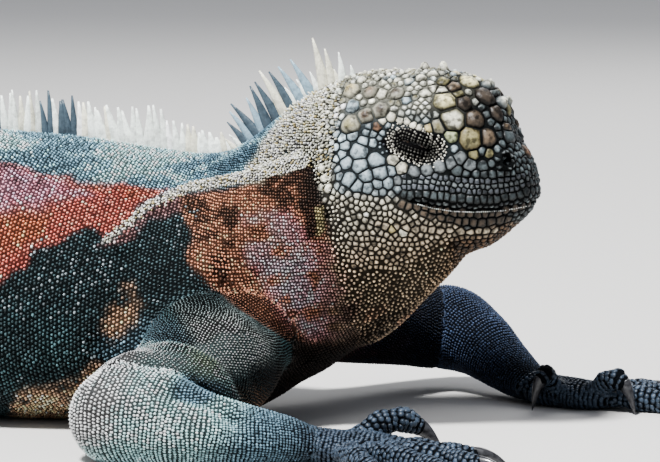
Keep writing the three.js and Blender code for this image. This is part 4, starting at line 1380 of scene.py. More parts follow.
def scaleFinish(name, rim, sharp, rough, coat, blotches, rugged=0.3):
    # A scale is painted dark at its edge, as painted shade between the scales, and bright at its tip, as a
    # painted highlight, with darker blotches
    material, graph = newMaterial(name)
    grain = graph.grain(1100.0, 3.0)
    blotch = graph.node("ShaderNodeMapRange", {"interpolation_type": "SMOOTHSTEP"},
                        {"Value": graph.grain(480.0, 3.0), "From Min": 0.46, "From Max": 0.66}, out="Result")
    # Painted shade at a scale's foot, painted highlight at its tip
    rimShadeTipLight = (rim + (graph.attribute("lift") ** sharp) * (1 - rim)) * (1 - rugged + grain * 2 * rugged)
    shown = graph.scaled(graph.attribute("tint", "COLOR"), rimShadeTipLight * (1 - blotch * blotches))
    bump = graph.node("ShaderNodeBump", None, {"Strength": rugged + 0.1, "Distance": 0.0004, "Height": grain})
    graph.surface({"Base Color": shown, "Roughness": rough - 0.1 + grain * 0.2, "Specular IOR Level": 0.22,
                   "Coat Weight": coat, "Coat Roughness": 0.3, "Normal": bump})
    return material


# brightness at the edge under the painted shade, sharpness of the painted highlight at the tip, roughness,
# gloss and blotches of each kind of scale
finishes = {
    "body": scaleFinish("bodyScales", 0.03, 1.3, 0.55, 0.03, 0.35),
    "neck": scaleFinish("neckScales", 0.03, 1.7, 0.5, 0.04, 0.4),
    # The upper legs' scales: dark but for a small painted highlight at each tip
    "shoulder": scaleFinish("shoulderScales", 0.01, 4.0, 0.55, 0.02, 0.3),
    "leg": scaleFinish("legScales", 0.03, 0.8, 0.45, 0.12, 0.3),
    "head": scaleFinish("headScales", 0.03, 1.4, 0.44, 0.1, 0.75, 0.5),
    "spine": scaleFinish("crestSpines", 0.7, 0.6, 0.4, 0.15, 0.25),
}
print("finishes made")


coat = {
    "neckPitch": 0.95,
    "bodyPitch": 1.25,
    "tailPitch": 3.0,
    "neckAround": 200,
    "trunkAround": 230,
    "tailAround": 44,
    "legPitch": 1.06,
    "handPitch": 1.5,
    "digitPitch": 1.9,
    "digitBand": 2.1,  # scale width round a digit
    "overlap": 0.64,  # half a scale's length, as a share of the distance between scales
    "headEdge": 12.4,  # row where the head's plates give way to rows of scales
    "most": 17000,  # scales in one piece
    "uneven": 0.46,  # how much the brightness differs from scale to scale
}


def widened(roots, width=1.0):
    return {**roots, "size": roots["size"] * [coat["overlap"], coat["overlap"] * width, 1]}


def speckled(roots, seed, spread, glints=0.0):
    # Each scale a little lighter or darker than the next, and a few dark ones much paler, as painted glints
    draw = np.random.default_rng(seed)
    count = len(roots["tint"])
    tint = roots["tint"] * np.exp(draw.normal(0, spread, (count, 1)))
    crowded = 2 * ease(roughNoise(roots["straight"], 14, 19), -0.15, 0.3)
    pale = (draw.random(count) < glints * crowded) & (tint.mean(1) < 0.25)
    tint[pale] = colours["glint"] * (0.25 + 0.6 * draw.random((pale.sum(), 1)))
    return {**roots, "tint": np.clip(tint, 0, 1)}


def plantRows(name, roots, finish, shape):
    pieces = max(1, math.ceil(len(roots["point"]) / coat["most"]))
    for k, part in enumerate(np.array_split(np.arange(len(roots["point"])), pieces)):
        label = f"{name}_{k + 1}" if pieces > 1 else name
        plant(label, picked(roots, part), finish, shape)


def addBodyScales():
    small = {"Sides": 6, "Rings": 1, "Top": 0.0, "Lean": 0.35, "Sunk": 0.32, "Wobble": 0.09, "Seed": 3}
    neck = bodyRoots(coat["headEdge"], neckBase, coat["neckPitch"], coat["neckAround"], 0.75)
    plantRows("neck_scales", widened(speckled(neck, 21, 0.36)), finishes["neck"], small)
    trunk = bodyRoots(neckBase, vent, coat["bodyPitch"], coat["trunkAround"], 0.62)
    trunk = widened(speckled(trunk, 22, coat["uneven"], 0.09))
    plantRows("trunk_scales", trunk, finishes["body"], {**small, "Seed": 4})
    tail = bodyRoots(vent, tailTip - 0.15, coat["tailPitch"], coat["tailAround"], 0.3, 0.03)
    tail = widened(speckled(tail, 23, 0.18, 0.02), 1.1)
    plantRows("tail_scales", tail, finishes["body"],
              {**small, "Top": 0.45, "Bulge": 0.1, "Lean": 0.2, "Wobble": 0.04, "Seed": 5})


def addLegScales():
    shape = {"Sides": 6, "Rings": 1, "Top": 0.0, "Lean": 0.3, "Sunk": 0.3, "Wobble": 0.09, "Seed": 6}
    toe = {**shape, "Top": 0.45, "Lean": 0.25, "Wobble": 0.05}
    levels = [("upper", "_upper_scales", "shoulder", 24, 0.3), ("lower", "_scales", "leg", 28, 0.24)]
    for k, (name, leg) in enumerate(legs.items()):
        for j, (part, label, finish, seed, spread) in enumerate(levels):
            roots = limbRoots(name, leg[part], coat["legPitch"], j, 0.62, body["bodyCoat"], 40 + 10 * j + k)
            roots = widened(speckled(roots, seed + k, spread))
            plantRows(name + label, roots, finishes[finish], shape)
        parts = [limbRoots(name, leg["sole"], coat["handPitch"], 2, 0.4, body["soleCoat"], 60 + k)]
        for j, (digit, thick) in enumerate(zip(leg["digits"], digitThick)):
            parts.append(limbRoots(name, digitTable(digit, thick), coat["digitPitch"], 2, 0.22,
                                   body["digitCoat"], 70 + 10 * k + j, coat["digitBand"]))
        label = name.replace("foreleg", "hand").replace("hindleg", "foot")
        small = speckled(gathered(parts), 34 + k, 0.2)
        plantRows(label + "_scales", widened(small, 1.05), finishes["leg"], toe)


addBodyScales()
addLegScales()


# The head's plates

headCoat = {
    "groove": 0.15,  # half the dark line between two plates
    "sunk": 0.45,
    "sides": 16,
    "beadBelow": 0.74,  # plates smaller than this are planted as small cones
    "slitClear": 0.5,
    "mouthClear": 0.5,
    "nostrilClear": 1.9,
    "nostrilRing": 2.75,
    "nostrilBeads": 9,
    "nostrilBead": 0.85,
    "lidBead": 0.5,
    "crownFootLight": 0.16,  # how much lighter the feet of the crown's plates are painted, so less painted shade lies between them
    "patch": 0.0012,  # a plate's half size on the unwrap
    "lidRows": (0.95, 1.85, 2.75, 3.7, 4.7, 5.7),
    "lidStep": 0.98,
    "candidates": 60000,
    "cell": 3.4,
}

# Plates that can be told apart, by colour and colour of the tip: photo pixels across and down,
# radius in pixels, and height as a share of the radius
headPlates = {
    ("cream", "ochre"): [(352, 91, 10, 0.75), (456, 74, 6, 0.6)],
    ("cream", "umberLight"): [(371, 93, 8, 0.8)],
    ("cream", "cream"): [
        (382, 94, 6, 0.6), (433.6, 89, 6, 0.6), (425, 93.6, 6, 0.6), (326, 178, 5.5, 0.6),
        (329, 188, 5.5, 0.6), (391, 117, 6, 0.5), (383, 121, 4, 0.5),
        (400, 121, 3.5, 0.5), (407, 122, 3.5, 0.5), (413, 126, 4, 0.5), (419, 128, 4, 0.5),
        (441, 91, 6, 0.5), (425, 66.5, 5.5, 1.7), (443, 68, 7, 1.5), (348, 75, 4, 1.5),
        (399, 68.5, 4.5, 1), (376, 71, 4, 1), (388, 74, 4.5, 1), (361, 71, 4, 1.1), (368, 70, 4, 1.1),
        (411, 64, 4.5, 1.1), (384, 84, 5, 0.9), (362, 81, 5, 0.9), (421, 79, 5, 0.9), (433, 75, 5, 0.9),
        (397, 81, 4.5, 0.9), (393.5, 160, 6, 0.35), (402, 168, 6, 0.3), (403, 233, 4.6, 0.36),
        (322, 168, 5, 0.55),
    ],
    ("coldGrey", "coldGrey"): [
        (353, 106, 8, 0.5), (406, 101, 5, 0.5), (359, 151.5, 9, 0.25), (360, 165.7, 8, 0.25),
        (346, 163, 6.5, 0.25), (376.5, 160.7, 8, 0.25), (352, 135, 6, 0.3), (363.6, 141.5, 6, 0.3),
        (345, 146, 5, 0.3), (391, 171, 5.5, 0.3), (378, 184, 5.5, 0.3), (388, 183, 5, 0.3),
        (366, 176, 7, 0.28), (380.7, 173, 7, 0.28), (349, 180, 6.5, 0.35), (357, 186, 5.5, 0.35),
        (368, 188, 5, 0.35),
    ],
    ("cream", "umber"): [(366, 116, 8.5, 0.8)],
    ("cream", "earthGrey"): [(381, 110, 8, 0.7), (396, 94, 8.5, 0.7)],
    ("olive", "olive"): [
        (506.5, 109, 6, 0.5), (443.6, 82, 6, 0.5), (489, 153.5, 4, 0.45),
        (459, 95, 5, 0.4), (474, 154, 5.5, 0.3),
    ],
    ("umberLight", "rustBrown"): [(377, 127, 4.5, 0.5), (526.5, 152, 7, 0.4)],
    ("ochre", "ochre"): [(428.6, 128.6, 5.5, 0.5), (392, 229, 4.6, 0.4)],
    ("cream", "olive"): [(439, 126, 7, 0.55), (350, 125, 9, 0.6)],
    ("yellowGreen", "yellowGreen"): [(451, 136, 6, 0.5)],
    ("olive", "cream"): [(452, 119, 11, 0.42)],
    ("paleYellow", "paleYellow"): [(445, 102, 11, 0.42), (469, 82, 11, 0.4)],
    ("ochre", "olive"): [(471, 139, 10, 0.4)],
    ("earthGrey", "umberLight"): [(453.5, 87, 7, 0.45), (488, 138, 9.5, 0.45), (516.5, 125, 8, 0.45)],
    ("umberLight", "earthGrey"): [(475, 119, 10, 0.62)],
    ("earthGrey", "earthGrey"): [(463.6, 103, 8, 0.5), (485, 96.5, 10, 0.5), (496.5, 113.5, 9, 0.5)],
    ("coldGrey", "cream"): [(489, 84, 6, 1.3), (505, 98, 7.5, 1.1), (409, 82, 5.5, 0.7)],
    ("lipGrey", "lipGrey"): [
        (509, 136.5, 8.5, 0.45), (520.7, 138, 5, 0.45), (491.5, 163.5, 3.5, 0.4), (457, 171, 5, 0.28),
        (483, 166, 4.5, 0.28),
    ],
    ("midGrey", "midGrey"): [
        (398, 181, 5, 0.3), (439, 166, 6, 0.28), (427, 170, 6, 0.28), (414, 172, 6, 0.28),
        (451, 163, 5.5, 0.28), (460, 158, 6, 0.28), (470, 165, 5.5, 0.28),
    ],
}
# Rows of plates: a line in photo pixels, the step and radius along it, height, colour, and colour of the tip
plateRows = [
    ([(404, 194.5), (430, 195), (450, 197.5), (470, 200), (490, 200.3), (510, 197.5), (533, 190.5)],
     7.2, 4.1, 0.32, "labial", "lipGrey"),
    # The three rows above the lip: dark plates with a lilac or grey painted highlight on each tip
    ([(404, 186.5), (430, 187), (450, 189), (470, 191.5), (490, 192), (510, 189.5), (533, 182.5)],
     5.4, 2.7, 0.42, "lipGrey", "lilacHighlight"),
    ([(404, 181.5), (430, 182), (450, 184), (470, 186.5), (490, 187), (510, 184.5), (533, 177.5)],
     5.6, 2.7, 0.42, "lipGrey", "midGrey"),
    ([(404, 176.5), (430, 177), (450, 179), (470, 181.5), (490, 182), (510, 179.5), (530, 173.5)],
     6.0, 2.9, 0.42, "lipGrey", "lilacHighlight"),
    ([(402, 205), (437, 210), (466, 214), (496, 213.5), (529, 205)], 7.2, 4.1, 0.32, "labial", "lipBrown"),
    ([(424, 214), (445, 218.5), (470, 222.6), (493, 221.8), (508, 218.5)],
     8.2, 4.3, 0.3, "labial", "lipBrown"),
    ([(378, 224), (403, 228), (430, 229.5), (455, 231), (478, 231.5), (496, 229.5)],
     8.8, 3.9, 0.36, "umberLight", "creamBrown"),
]


def onCrown(straight):
    # The top of the head and nape, where the plates' feet and the skin between them get less painted shade
    along, height = straight[..., 0], straight[..., 2]
    return ease(height, 97, 101) * ease(along, 24, 32) * ease(-along, -64, -58)


def plateSize(straight):
    # The usual radius of a plate, in millimetres, over the head and throat
    folded = foldedOver(straight)
    spots = sideView(straight)
    across, down = spots.T
    size = np.full(len(spots), 1.15)

    def region(value, mask):
        size[:] = size + (value - size) * np.clip(mask, 0, 1)

    region(0.88, ease(down, *fades["jawPlates"]))
    region(0.76, ease(down, *fades["throatPlates"]))
    region(0.6, ease(down, *fades["lowPlates"]))
    region(0.62, ease(-across, *fades["behindJaw"]) * ease(down, *fades["behindJawLow"]))
    region(0.66, ease(across + 0.9 * down, *fades["chinFront"]) * ease(down, *fades["chinLow"]))
    chin = ease(across, *fades["chinFrom"]) * ease(down, *fades["chinTop"])
    region(0.95, chin * ease(-down, *fades["chinEnd"]))
    region(0.85, zone(spots, marks["browPlates"], 4))
    region(1.5, zone(spots, marks["cheekPlates"], 5))
    region(1.25, zone(spots, marks["snoutPlates"], 5))
    lip = ease(across, *fades["lipFrom"]) * ease(down, *fades["lipTop"])
    region(0.95, lip * ease(-down, *fades["lipEnd"]))
    region(0.8, ease(-across, *fades["napePlates"]) * ease(-down, *fades["napePlatesTop"]))
    eye = folded - eyeCentre
    region(0.6, ease(-np.hypot(eye[:, 0] / 1.5, eye[:, 2]), -7.6, -6.4) * ease(folded[:, 1], 10, 14))
    return size


def aheadOfEdge(straight, row):
    topX, topZ, lowX, lowZ = tableAt(sections, row)[0][:4]
    return straight[:, 0] - np.interp(straight[:, 2], [lowZ, topZ], [lowX, topX])


def clearOfOpenings(straight):
    folded = foldedOver(straight)
    slit, _ = lineDistance(folded[:, [0, 2]], lidLine)
    mouth, _ = lineDistance(folded[:, [0, 2]], mouthLine)
    hole = np.linalg.norm(folded - nostrilPlace, axis=1)
    nearLid = (slit < headCoat["slitClear"]) & (folded[:, 1] > 12)
    nearMouth = (mouth < headCoat["mouthClear"]) & (folded[:, 0] > 53)
    return ~(nearLid | nearMouth | (hole < headCoat["nostrilClear"]))


def onSkin(points):
    # Nearest places on the skin (metres), with their outward directions
    spot, _, faces, _ = zip(*(skinTree.find_nearest(p) for p in points.tolist()))
    return np.array(spot), unit(skinNormals[skinFaces[list(faces)]].mean(1))


def plateOnPhoto(px, py):
    # The place on the skin behind a photo pixel; above the outline the highest place below it
    for drop in range(12):
        place = skinTree.ray_cast(*photoRay(px, py + drop))[0]
        if place is not None:
            return unbend(np.array(place)[None])[0]
    return None


def fixedSeeds():
    # Listed plates and rows, the ring of the nostril, and the rows of beads on the lids
    seeds = {"point": [], "size": [], "height": [], "tint": [], "tip": []}

    def put(place, *rest):
        for side in (1, -1) if abs(place[1]) > 0.9 * rest[0] else (1,):
            for key, value in zip(seeds, (np.array(place) * [1, side, 1], *rest)):
                seeds[key].append(value)

    listed = [(*plate, *pair) for pair, plates in headPlates.items() for plate in plates]
    for line, step, radius, tall, colour, tip in plateRows:
        line = np.array(line)
        walked = walkedTo(line)
        count = int(walked[-1] / step)
        for k in range(count + 1):
            run = min(walked[-1], (k + 0.15 * math.sin(7.3 * k + radius)) * walked[-1] / count)
            px, py = (np.interp(run, walked, line[:, axis]) for axis in (0, 1))
            listed.append((px, py + 0.7 * math.sin(4.1 * k + radius), radius, tall, colour, tip))
    for px, py, radius, tall, colour, tip in listed:
        place = plateOnPhoto(px, py)
        if place is not None:
            dim = ease(px, *fades["snoutDim"]) * ease(py, *fades["snoutDimTop"])
            dim = 1 - 0.5 * dim * (tip != "creamBrown")
            put(place, radius / view["pixelsPerMm"] * (1 + 0.12 * math.sin(5.3 * px)), tall,
                colours[colour] * dim, colours[tip] * dim)
    for k in range(headCoat["nostrilBeads"]):
        turn = 2 * math.pi * k / headCoat["nostrilBeads"]
        ring = np.array([math.cos(turn), -0.35 * math.cos(turn), math.sin(turn)]) * headCoat["nostrilRing"]
        put(np.array(nostrilPlace) + ring, headCoat["nostrilBead"], 0.6,
            colours["labial"], colours["midGrey"])
    ends = np.array(lidLine)
    for offset in headCoat["lidRows"]:
        run = ends[-1] - ends[0]
        length = np.linalg.norm(run)
        run /= length
        cross = np.array([-run[1], run[0]])
        half = length + math.pi * offset
        count = int(2 * half / headCoat["lidStep"])
        for k in range(count):
            # Along one side of the slit and round its end, then back in the same way
            back, s = divmod((k + 0.5) * 2 * half / count, half)
            turn = max(0, s - length) / offset
            step = run * (min(s, length) + offset * math.sin(turn)) + cross * offset * math.cos(turn)
            flat = ends[-1] - step if back else ends[0] + step
            flat = flat + 0.06 * offset * np.array([math.sin(3.7 * k), math.cos(5.9 * k)])
            away = flat - eyeCentre[[0, 2]]
            bulge = math.sqrt(max(0.0, 7.7 ** 2 - away @ away))
            bright = (0.02 + 0.028 * offset ** 2) * (0.5 + ((k * 7) % 5) / 4)
            put([flat[0], eyeCentre[1] + max(bulge, 5.0), flat[1]], headCoat["lidBead"], 0.75,
                colours["plumBead"], colours["lidTip"] * bright)
    return {key: np.array(values) for key, values in seeds.items()}


def placesOn(chosen, tries, seed):
    # Random places, in metres, on the skin's chosen triangles
    a, b, c = (skinPoints[skinFaces[chosen, k]] for k in range(3))
    area = np.linalg.norm(np.cross(b - a, c - a), axis=1)
    draw = np.random.default_rng(seed)
    pick = draw.choice(len(a), tries, p=area / area.sum())
    u, v = draw.random(tries), draw.random(tries)
    flip = u + v > 1
    u[flip], v[flip] = 1 - u[flip], 1 - v[flip]
    return a[pick] + (b[pick] - a[pick]) * u[:, None] + (c[pick] - a[pick]) * v[:, None]


def cellsNear(key, reach):
    steps = range(-reach, reach + 1)
    return [(key[0] + i, key[1] + j, key[2] + k) for i in steps for j in steps for k in steps]


def spaced(points, sizes, cellSize, held=0):
    # Which places lie clear of those kept before them, in millimetres; the first ones are held anyway
    cells, kept = {}, []
    for i, (p, r) in enumerate(zip(points.tolist(), sizes.tolist())):
        key = tuple(int(x // cellSize) for x in p)
        rivals = (rival for cell in cellsNear(key, 1) for rival in cells.get(cell, ()))
        if i >= held:
            if any(math.dist(p, q) < (r + s) * (0.86 if s < 1.8 else 0.98) for q, s in rivals):
                continue
            kept.append(i)
        # A big plate is listed in every cell that it may reach
        for cell in cellsNear(key, int(r // cellSize) + (1 if r > 1.6 else 0)):
            cells.setdefault(cell, []).append((p, r))
    return kept


def scatterSeeds(fixed, fixedSizes):
    # Even random places between the fixed plates
    middle = unbend(skinPoints[skinFaces].mean(1))
    chosen = (aheadOfEdge(middle, coat["headEdge"]) > 0.3) & (middle[:, 2] > 20)
    tried = placesOn(chosen, headCoat["candidates"], 11)
    straight = unbend(tried)
    sizes = plateSize(straight)
    fine = clearOfOpenings(straight) & (np.abs(straight[:, 1]) < 45)
    everyPoint = np.vstack([fixed, tried[fine]]) / mm
    everySize = np.concatenate([fixedSizes, sizes[fine]])
    kept = spaced(everyPoint, everySize, headCoat["cell"], len(fixed))
    return everyPoint[kept] * mm, everySize[kept]


def pushApart(points, sizes, held, rounds=5):
    for _ in range(rounds):
        tree = treeOf(points)
        moved = points.copy()
        for i in range(held, len(points)):
            shift = np.zeros(3)
            for place, j, gap in tree.find_n(points[i], 8):
                if j == i or gap == 0:
                    continue
                want = (sizes[i] + sizes[j]) * mm * 1.02
                if gap < want:
                    shift += (points[i] - np.array(place)) / gap * (want - gap) * 0.38
            moved[i] = points[i] + shift
        points = np.vstack([points[:held], onSkin(moved[held:])[0]])
    return points


def plateOutline(centre, up, ahead, radius, rivals):
    # The share of the tangent plane nearer to this plate than to its neighbours, as flat points
    side = np.cross(up, ahead)
    step = 2 * math.pi / headCoat["sides"]
    turns = [step * k for k in range(headCoat["sides"])]
    outline = [(radius * 1.2 * math.cos(turn), radius * 1.2 * math.sin(turn)) for turn in turns]
    for place, size in rivals:
        away = place - centre
        x, y = away @ ahead, away @ side
        far = math.hypot(x, y)
        if far < 1e-6:
            continue
        nx, ny = x / far, y / far
        edge = (far * far + radius * radius - size * size) / (2 * far) - headCoat["groove"]
        if edge > radius * 1.25:
            continue
        cut = []
        for (ax, ay), (bx, by) in zip(outline, outline[1:] + outline[:1]):
            da, db = ax * nx + ay * ny - edge, bx * nx + by * ny - edge
            if da <= 0:
                cut.append((ax, ay))
            if (da < 0 < db) or (db < 0 < da):
                t = da / (da - db)
                cut.append((ax + (bx - ax) * t, ay + (by - ay) * t))
        outline = cut
        if len(outline) < 3:
            return None
    neat = []
    for p in outline:
        if not neat or math.hypot(p[0] - neat[-1][0], p[1] - neat[-1][1]) > 0.16 * radius:
            neat.append(p)
    if len(neat) > 3 and math.hypot(neat[0][0] - neat[-1][0], neat[0][1] - neat[-1][1]) < 0.16 * radius:
        neat.pop()
    return np.array(neat) if len(neat) > 3 else None


# Rings of a plate from its edge to its tip: share of the outline, share of the height
domeRings = [(1.0, 0.0), (0.9, 0.5), (0.6, 0.88)]
coneRings = [(1.0, 0.0), (0.8, 0.42), (0.4, 0.82)]


def headPlace(straight):
    # The head's unwrap: along the head, and round a line through its middle
    around = np.arctan2(straight[:, 1], straight[:, 2] - 75) / (2 * np.pi) + 0.5
    return unwrapPlace(np.clip(straight[:, 0] / 95, 0, 1), around)


def plateFaces(count, rings):
    # A closed floor, the sides, and the faces round the tip
    j = np.arange(count)
    follow = (j + 1) % count
    faces = [j[::-1]]
    for low in range(0, (rings - 1) * count, count):
        faces += list(np.stack([low + j, low + follow, low + count + follow, low + count + j], axis=1))
    top = (rings - 1) * count
    return faces + list(np.stack([top + j, top + follow, np.full(count, top + count)], axis=1))


def plateForms(seeds):
    spot, up = onSkin(seeds["point"])
    straight = unbend(spot)
    tree = treeOf(spot)
    numbers, rims = [], []
    for i in np.argsort(straight[:, 1]):
        radius = seeds["size"][i]
        if radius < headCoat["beadBelow"]:
            continue
        ahead = np.array([1.0, 0, 0]) - up[i] * up[i][0]
        if np.linalg.norm(ahead) < 0.2:
            ahead = np.array([0, 0, 1.0]) - up[i] * up[i][2]
        ahead /= np.linalg.norm(ahead)
        near = tree.find_n(spot[i], 12 if radius < 1.6 else 34)
        rivals = [(np.array(p) / mm, seeds["size"][j]) for p, j, gap in near if j != i]
        outline = plateOutline(spot[i] / mm, up[i], ahead, radius, rivals)
        if outline is not None:
            numbers.append(i)
            rims.append(spot[i] + (outline[:, :1] * ahead + outline[:, 1:] * np.cross(up[i], ahead)) * mm)
    edges = np.split(onSkin(np.concatenate(rims))[0], np.cumsum([len(rim) for rim in rims])[:-1])
    plates = []
    for i, edge in zip(numbers, edges):
        count, radius, tall = len(edge), seeds["size"][i], seeds["height"][i]
        height = radius * tall * mm
        levels = [edge - up[i] * headCoat["sunk"] * mm]
        for share, lift in coneRings if tall > 0.5 else domeRings:
            rugged = 1 + 0.3 * noise((edge + lift * mm) / mm, 1.1, 61)[:, None] * (lift > 0)
            levels.append(spot[i] + (edge - spot[i]) * share
                          + up[i] * (height * lift * rugged + 0.12 * mm * (lift == 0)))
        tip = spot[i] + up[i] * height * (0.9 + 0.2 * math.sin(9.7 * i))
        form = np.vstack([*levels, tip])
        ring = np.append(np.repeat(np.arange(len(levels)), count), len(levels))
        crownFootLight = headCoat["crownFootLight"] * onCrown(straight[i])
        tipShare = np.array([0, 0, 0.28, 0.9, 1])[ring][:, None]
        offset = (form - spot[i])[:, [0, 2]] / (radius * mm) * headCoat["patch"]
        plates.append({
            "point": form, "faces": plateFaces(count, len(levels)),
            "place": headPlace(straight[i:i + 1])[:, :2] + np.clip(offset, -0.0015, 0.0015),
            "lift": crownFootLight + (1 - crownFootLight) * np.array([0, 0.05, 0.5, 0.9, 1])[ring],
            "tint": seeds["tint"][i] * (1 - tipShare) + seeds["tip"][i] * tipShare,
        })
    return plates


def platePiece(name, plates):
    starts = np.cumsum([0] + [len(plate["point"]) for plate in plates])
    faces = [face + start for plate, start in zip(plates, starts) for face in plate["faces"]]
    whole = gathered([{key: plate[key] for key in ("point", "lift", "tint", "place")} for plate in plates])
    piece = meshObject(name, toGround(whole["point"]), faces)
    mesh = piece.data
    addLayer(mesh, "lift", "FLOAT", whole["lift"])
    addTint(mesh, whole["tint"])
    loops = np.zeros(len(mesh.loops), np.int32)
    mesh.loops.foreach_get("vertex_index", loops)
    unwrap = mesh.uv_layers.new(name="OFBake")
    unwrap.data.foreach_set("uv", whole["place"][loops].astype(np.float32).ravel())
    mesh.materials.append(finishes["head"])
    mesh.calc_loop_triangles()
    print(name, len(plates), "plates,", len(mesh.loop_triangles), "triangles")
    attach(piece, "root")


def addHeadPlates():
    seeds = fixedSeeds()
    held = len(seeds["size"])
    fixed, _ = onSkin(bend(seeds["point"]))
    loose, looseSizes = scatterSeeds(fixed, seeds["size"])
    sizes = np.concatenate([seeds["size"], looseSizes])
    points = pushApart(np.vstack([fixed, loose]), sizes, held)
    straight = unbend(points[held:])
    draw = np.random.default_rng(23)
    tints = marked(straight) * np.exp(draw.normal(0, 0.28, (len(loose), 1)))
    spots = sideView(straight)
    crown = ease(-spots[:, 1], *fades["crownPlates"]) * ease(straight[:, 0], 22, 30)
    heights = 0.62 + 0.35 * crown - 0.3 * zone(spots, marks["cheekGrey"], 6)
    fixedTints = seeds["tint"] * np.exp(draw.normal(0, 0.16, (held, 1)))
    darkTip = (draw.random(len(loose)) < 0.35 * crown)[:, None]
    tips = np.where(darkTip, colours["olive"] * 0.6, tints * 1.15)
    seeds = {"point": points, "size": sizes, "height": np.concatenate([seeds["height"], heights]),
             "tint": np.clip(np.vstack([fixedTints, tints]), 0, 1),
             "tip": np.clip(np.vstack([seeds["tip"], tips]), 0, 1)}
    seeds = picked(seeds, np.concatenate([np.ones(held, bool), clearOfOpenings(straight)]))
    print("head seeds:", len(seeds["size"]))
    plates = plateForms(seeds)
    total = np.cumsum([len(plate["point"]) for plate in plates])
    half = int(np.searchsorted(total, total[-1] / 2))
    platePiece("head_plates_right", plates[:half])
    platePiece("head_plates_left", plates[half:])
    small = picked(seeds, seeds["size"] < headCoat["beadBelow"])
    spot, up = onSkin(small["point"])
    straight = unbend(spot)
    ahead = flattened(np.tile([1.0, 0, 0.2], (len(spot), 1)), up)
    roots = {"point": spot, "up": up, "ahead": ahead,
             "size": small["size"][:, None] * mm * [1.04, 1, 1], "tint": small["tip"],
             "place": headPlace(straight)}
    plantRows("head_beads", roots, finishes["head"],
              {"Sides": 6, "Rings": 1, "Top": 0.42, "Lean": 0.12, "Sunk": 0.3, "Wobble": 0.08, "Seed": 8})


addHeadPlates()


# The crest, from the nape to the tail

crest = {
    "backFrom": -13.5,
    "backTo": -262.0,
    "backStep": 2.15,
    "backTall": 12.2,
    "tailStep": 4.2,
    "tailTallFrom": 9.4,
    "tailTallTo": 1.8,
    "spineWidth": 1.55,  # half of a spine's width along the back
    "spineThick": 0.6,  # thickness as a share of that
    "sunk": 0.16,
}
# Tall spines of the nape: place along the body, length, degrees back from upright, colour
napeSpines = [
    (30.4, 4, 0, "white"), (26.9, 9.4, 1, "white"), (25.2, 4.5, 4, "cream"),
    (23.4, 12, 5, "cream"), (20.8, 16.8, 9, "cream"), (18.6, 7, 16, "white"),
    (16.5, 13.6, 27, "spineBlue"), (15.0, 7, 26, "white"), (13.2, 13.8, 29, "spineBlue"),
    (11.4, 7, 28, "white"), (9.8, 14.2, 30, "spineSlate"), (7.3, 16.3, 27, "cream"),
    (4.8, 14.4, 28, "spineSlate"), (1.6, 14.6, 21, "spineSlate"), (-0.4, 12.2, 23, "spineBlue"),
    (-2.0, 13.8, 39, "spineSlate"), (-4.2, 11.9, 36, "spineBlue"), (-6.1, 9.5, 37, "spineSlate"),
    (-8.0, 5.6, 38, "white"), (-10.0, 5.6, 38, "cream"), (-12.0, 6.2, 20, "white"),
]


def topOf(along):
    rows = np.arange(0, tailTip, 0.02)
    values = tableAt(sections, rows)
    return np.interp(-np.asarray(along, float), -values[:, 0], values[:, 1])


def spineRoots(along, tall, tilt, wide, tints):
    along, tall, tilt = (np.asarray(v, float) for v in (along, tall, tilt))
    lean = np.radians(tilt)
    foot = np.stack([along, np.zeros(len(along)), topOf(along) - body["bodyCoat"] - 0.3], axis=1)
    up = np.stack([-np.sin(lean), np.zeros(len(along)), np.cos(lean)], axis=1)
    bent = bend(foot)
    upBent = unit(bend(foot + up) - bent)
    aheadBent = unit(bend(foot + [1, 0, 0]) - bent)
    size = np.stack([wide, wide * crest["spineThick"], tall / (1 - crest["sunk"])], axis=1) * mm
    place = unwrapPlace((35 - along) / 760, 0.4 + 0.01 * (np.arange(len(along)) % 20))
    return {"point": bent, "up": upBent, "ahead": aheadBent, "size": size, "place": place, "tint": tints}


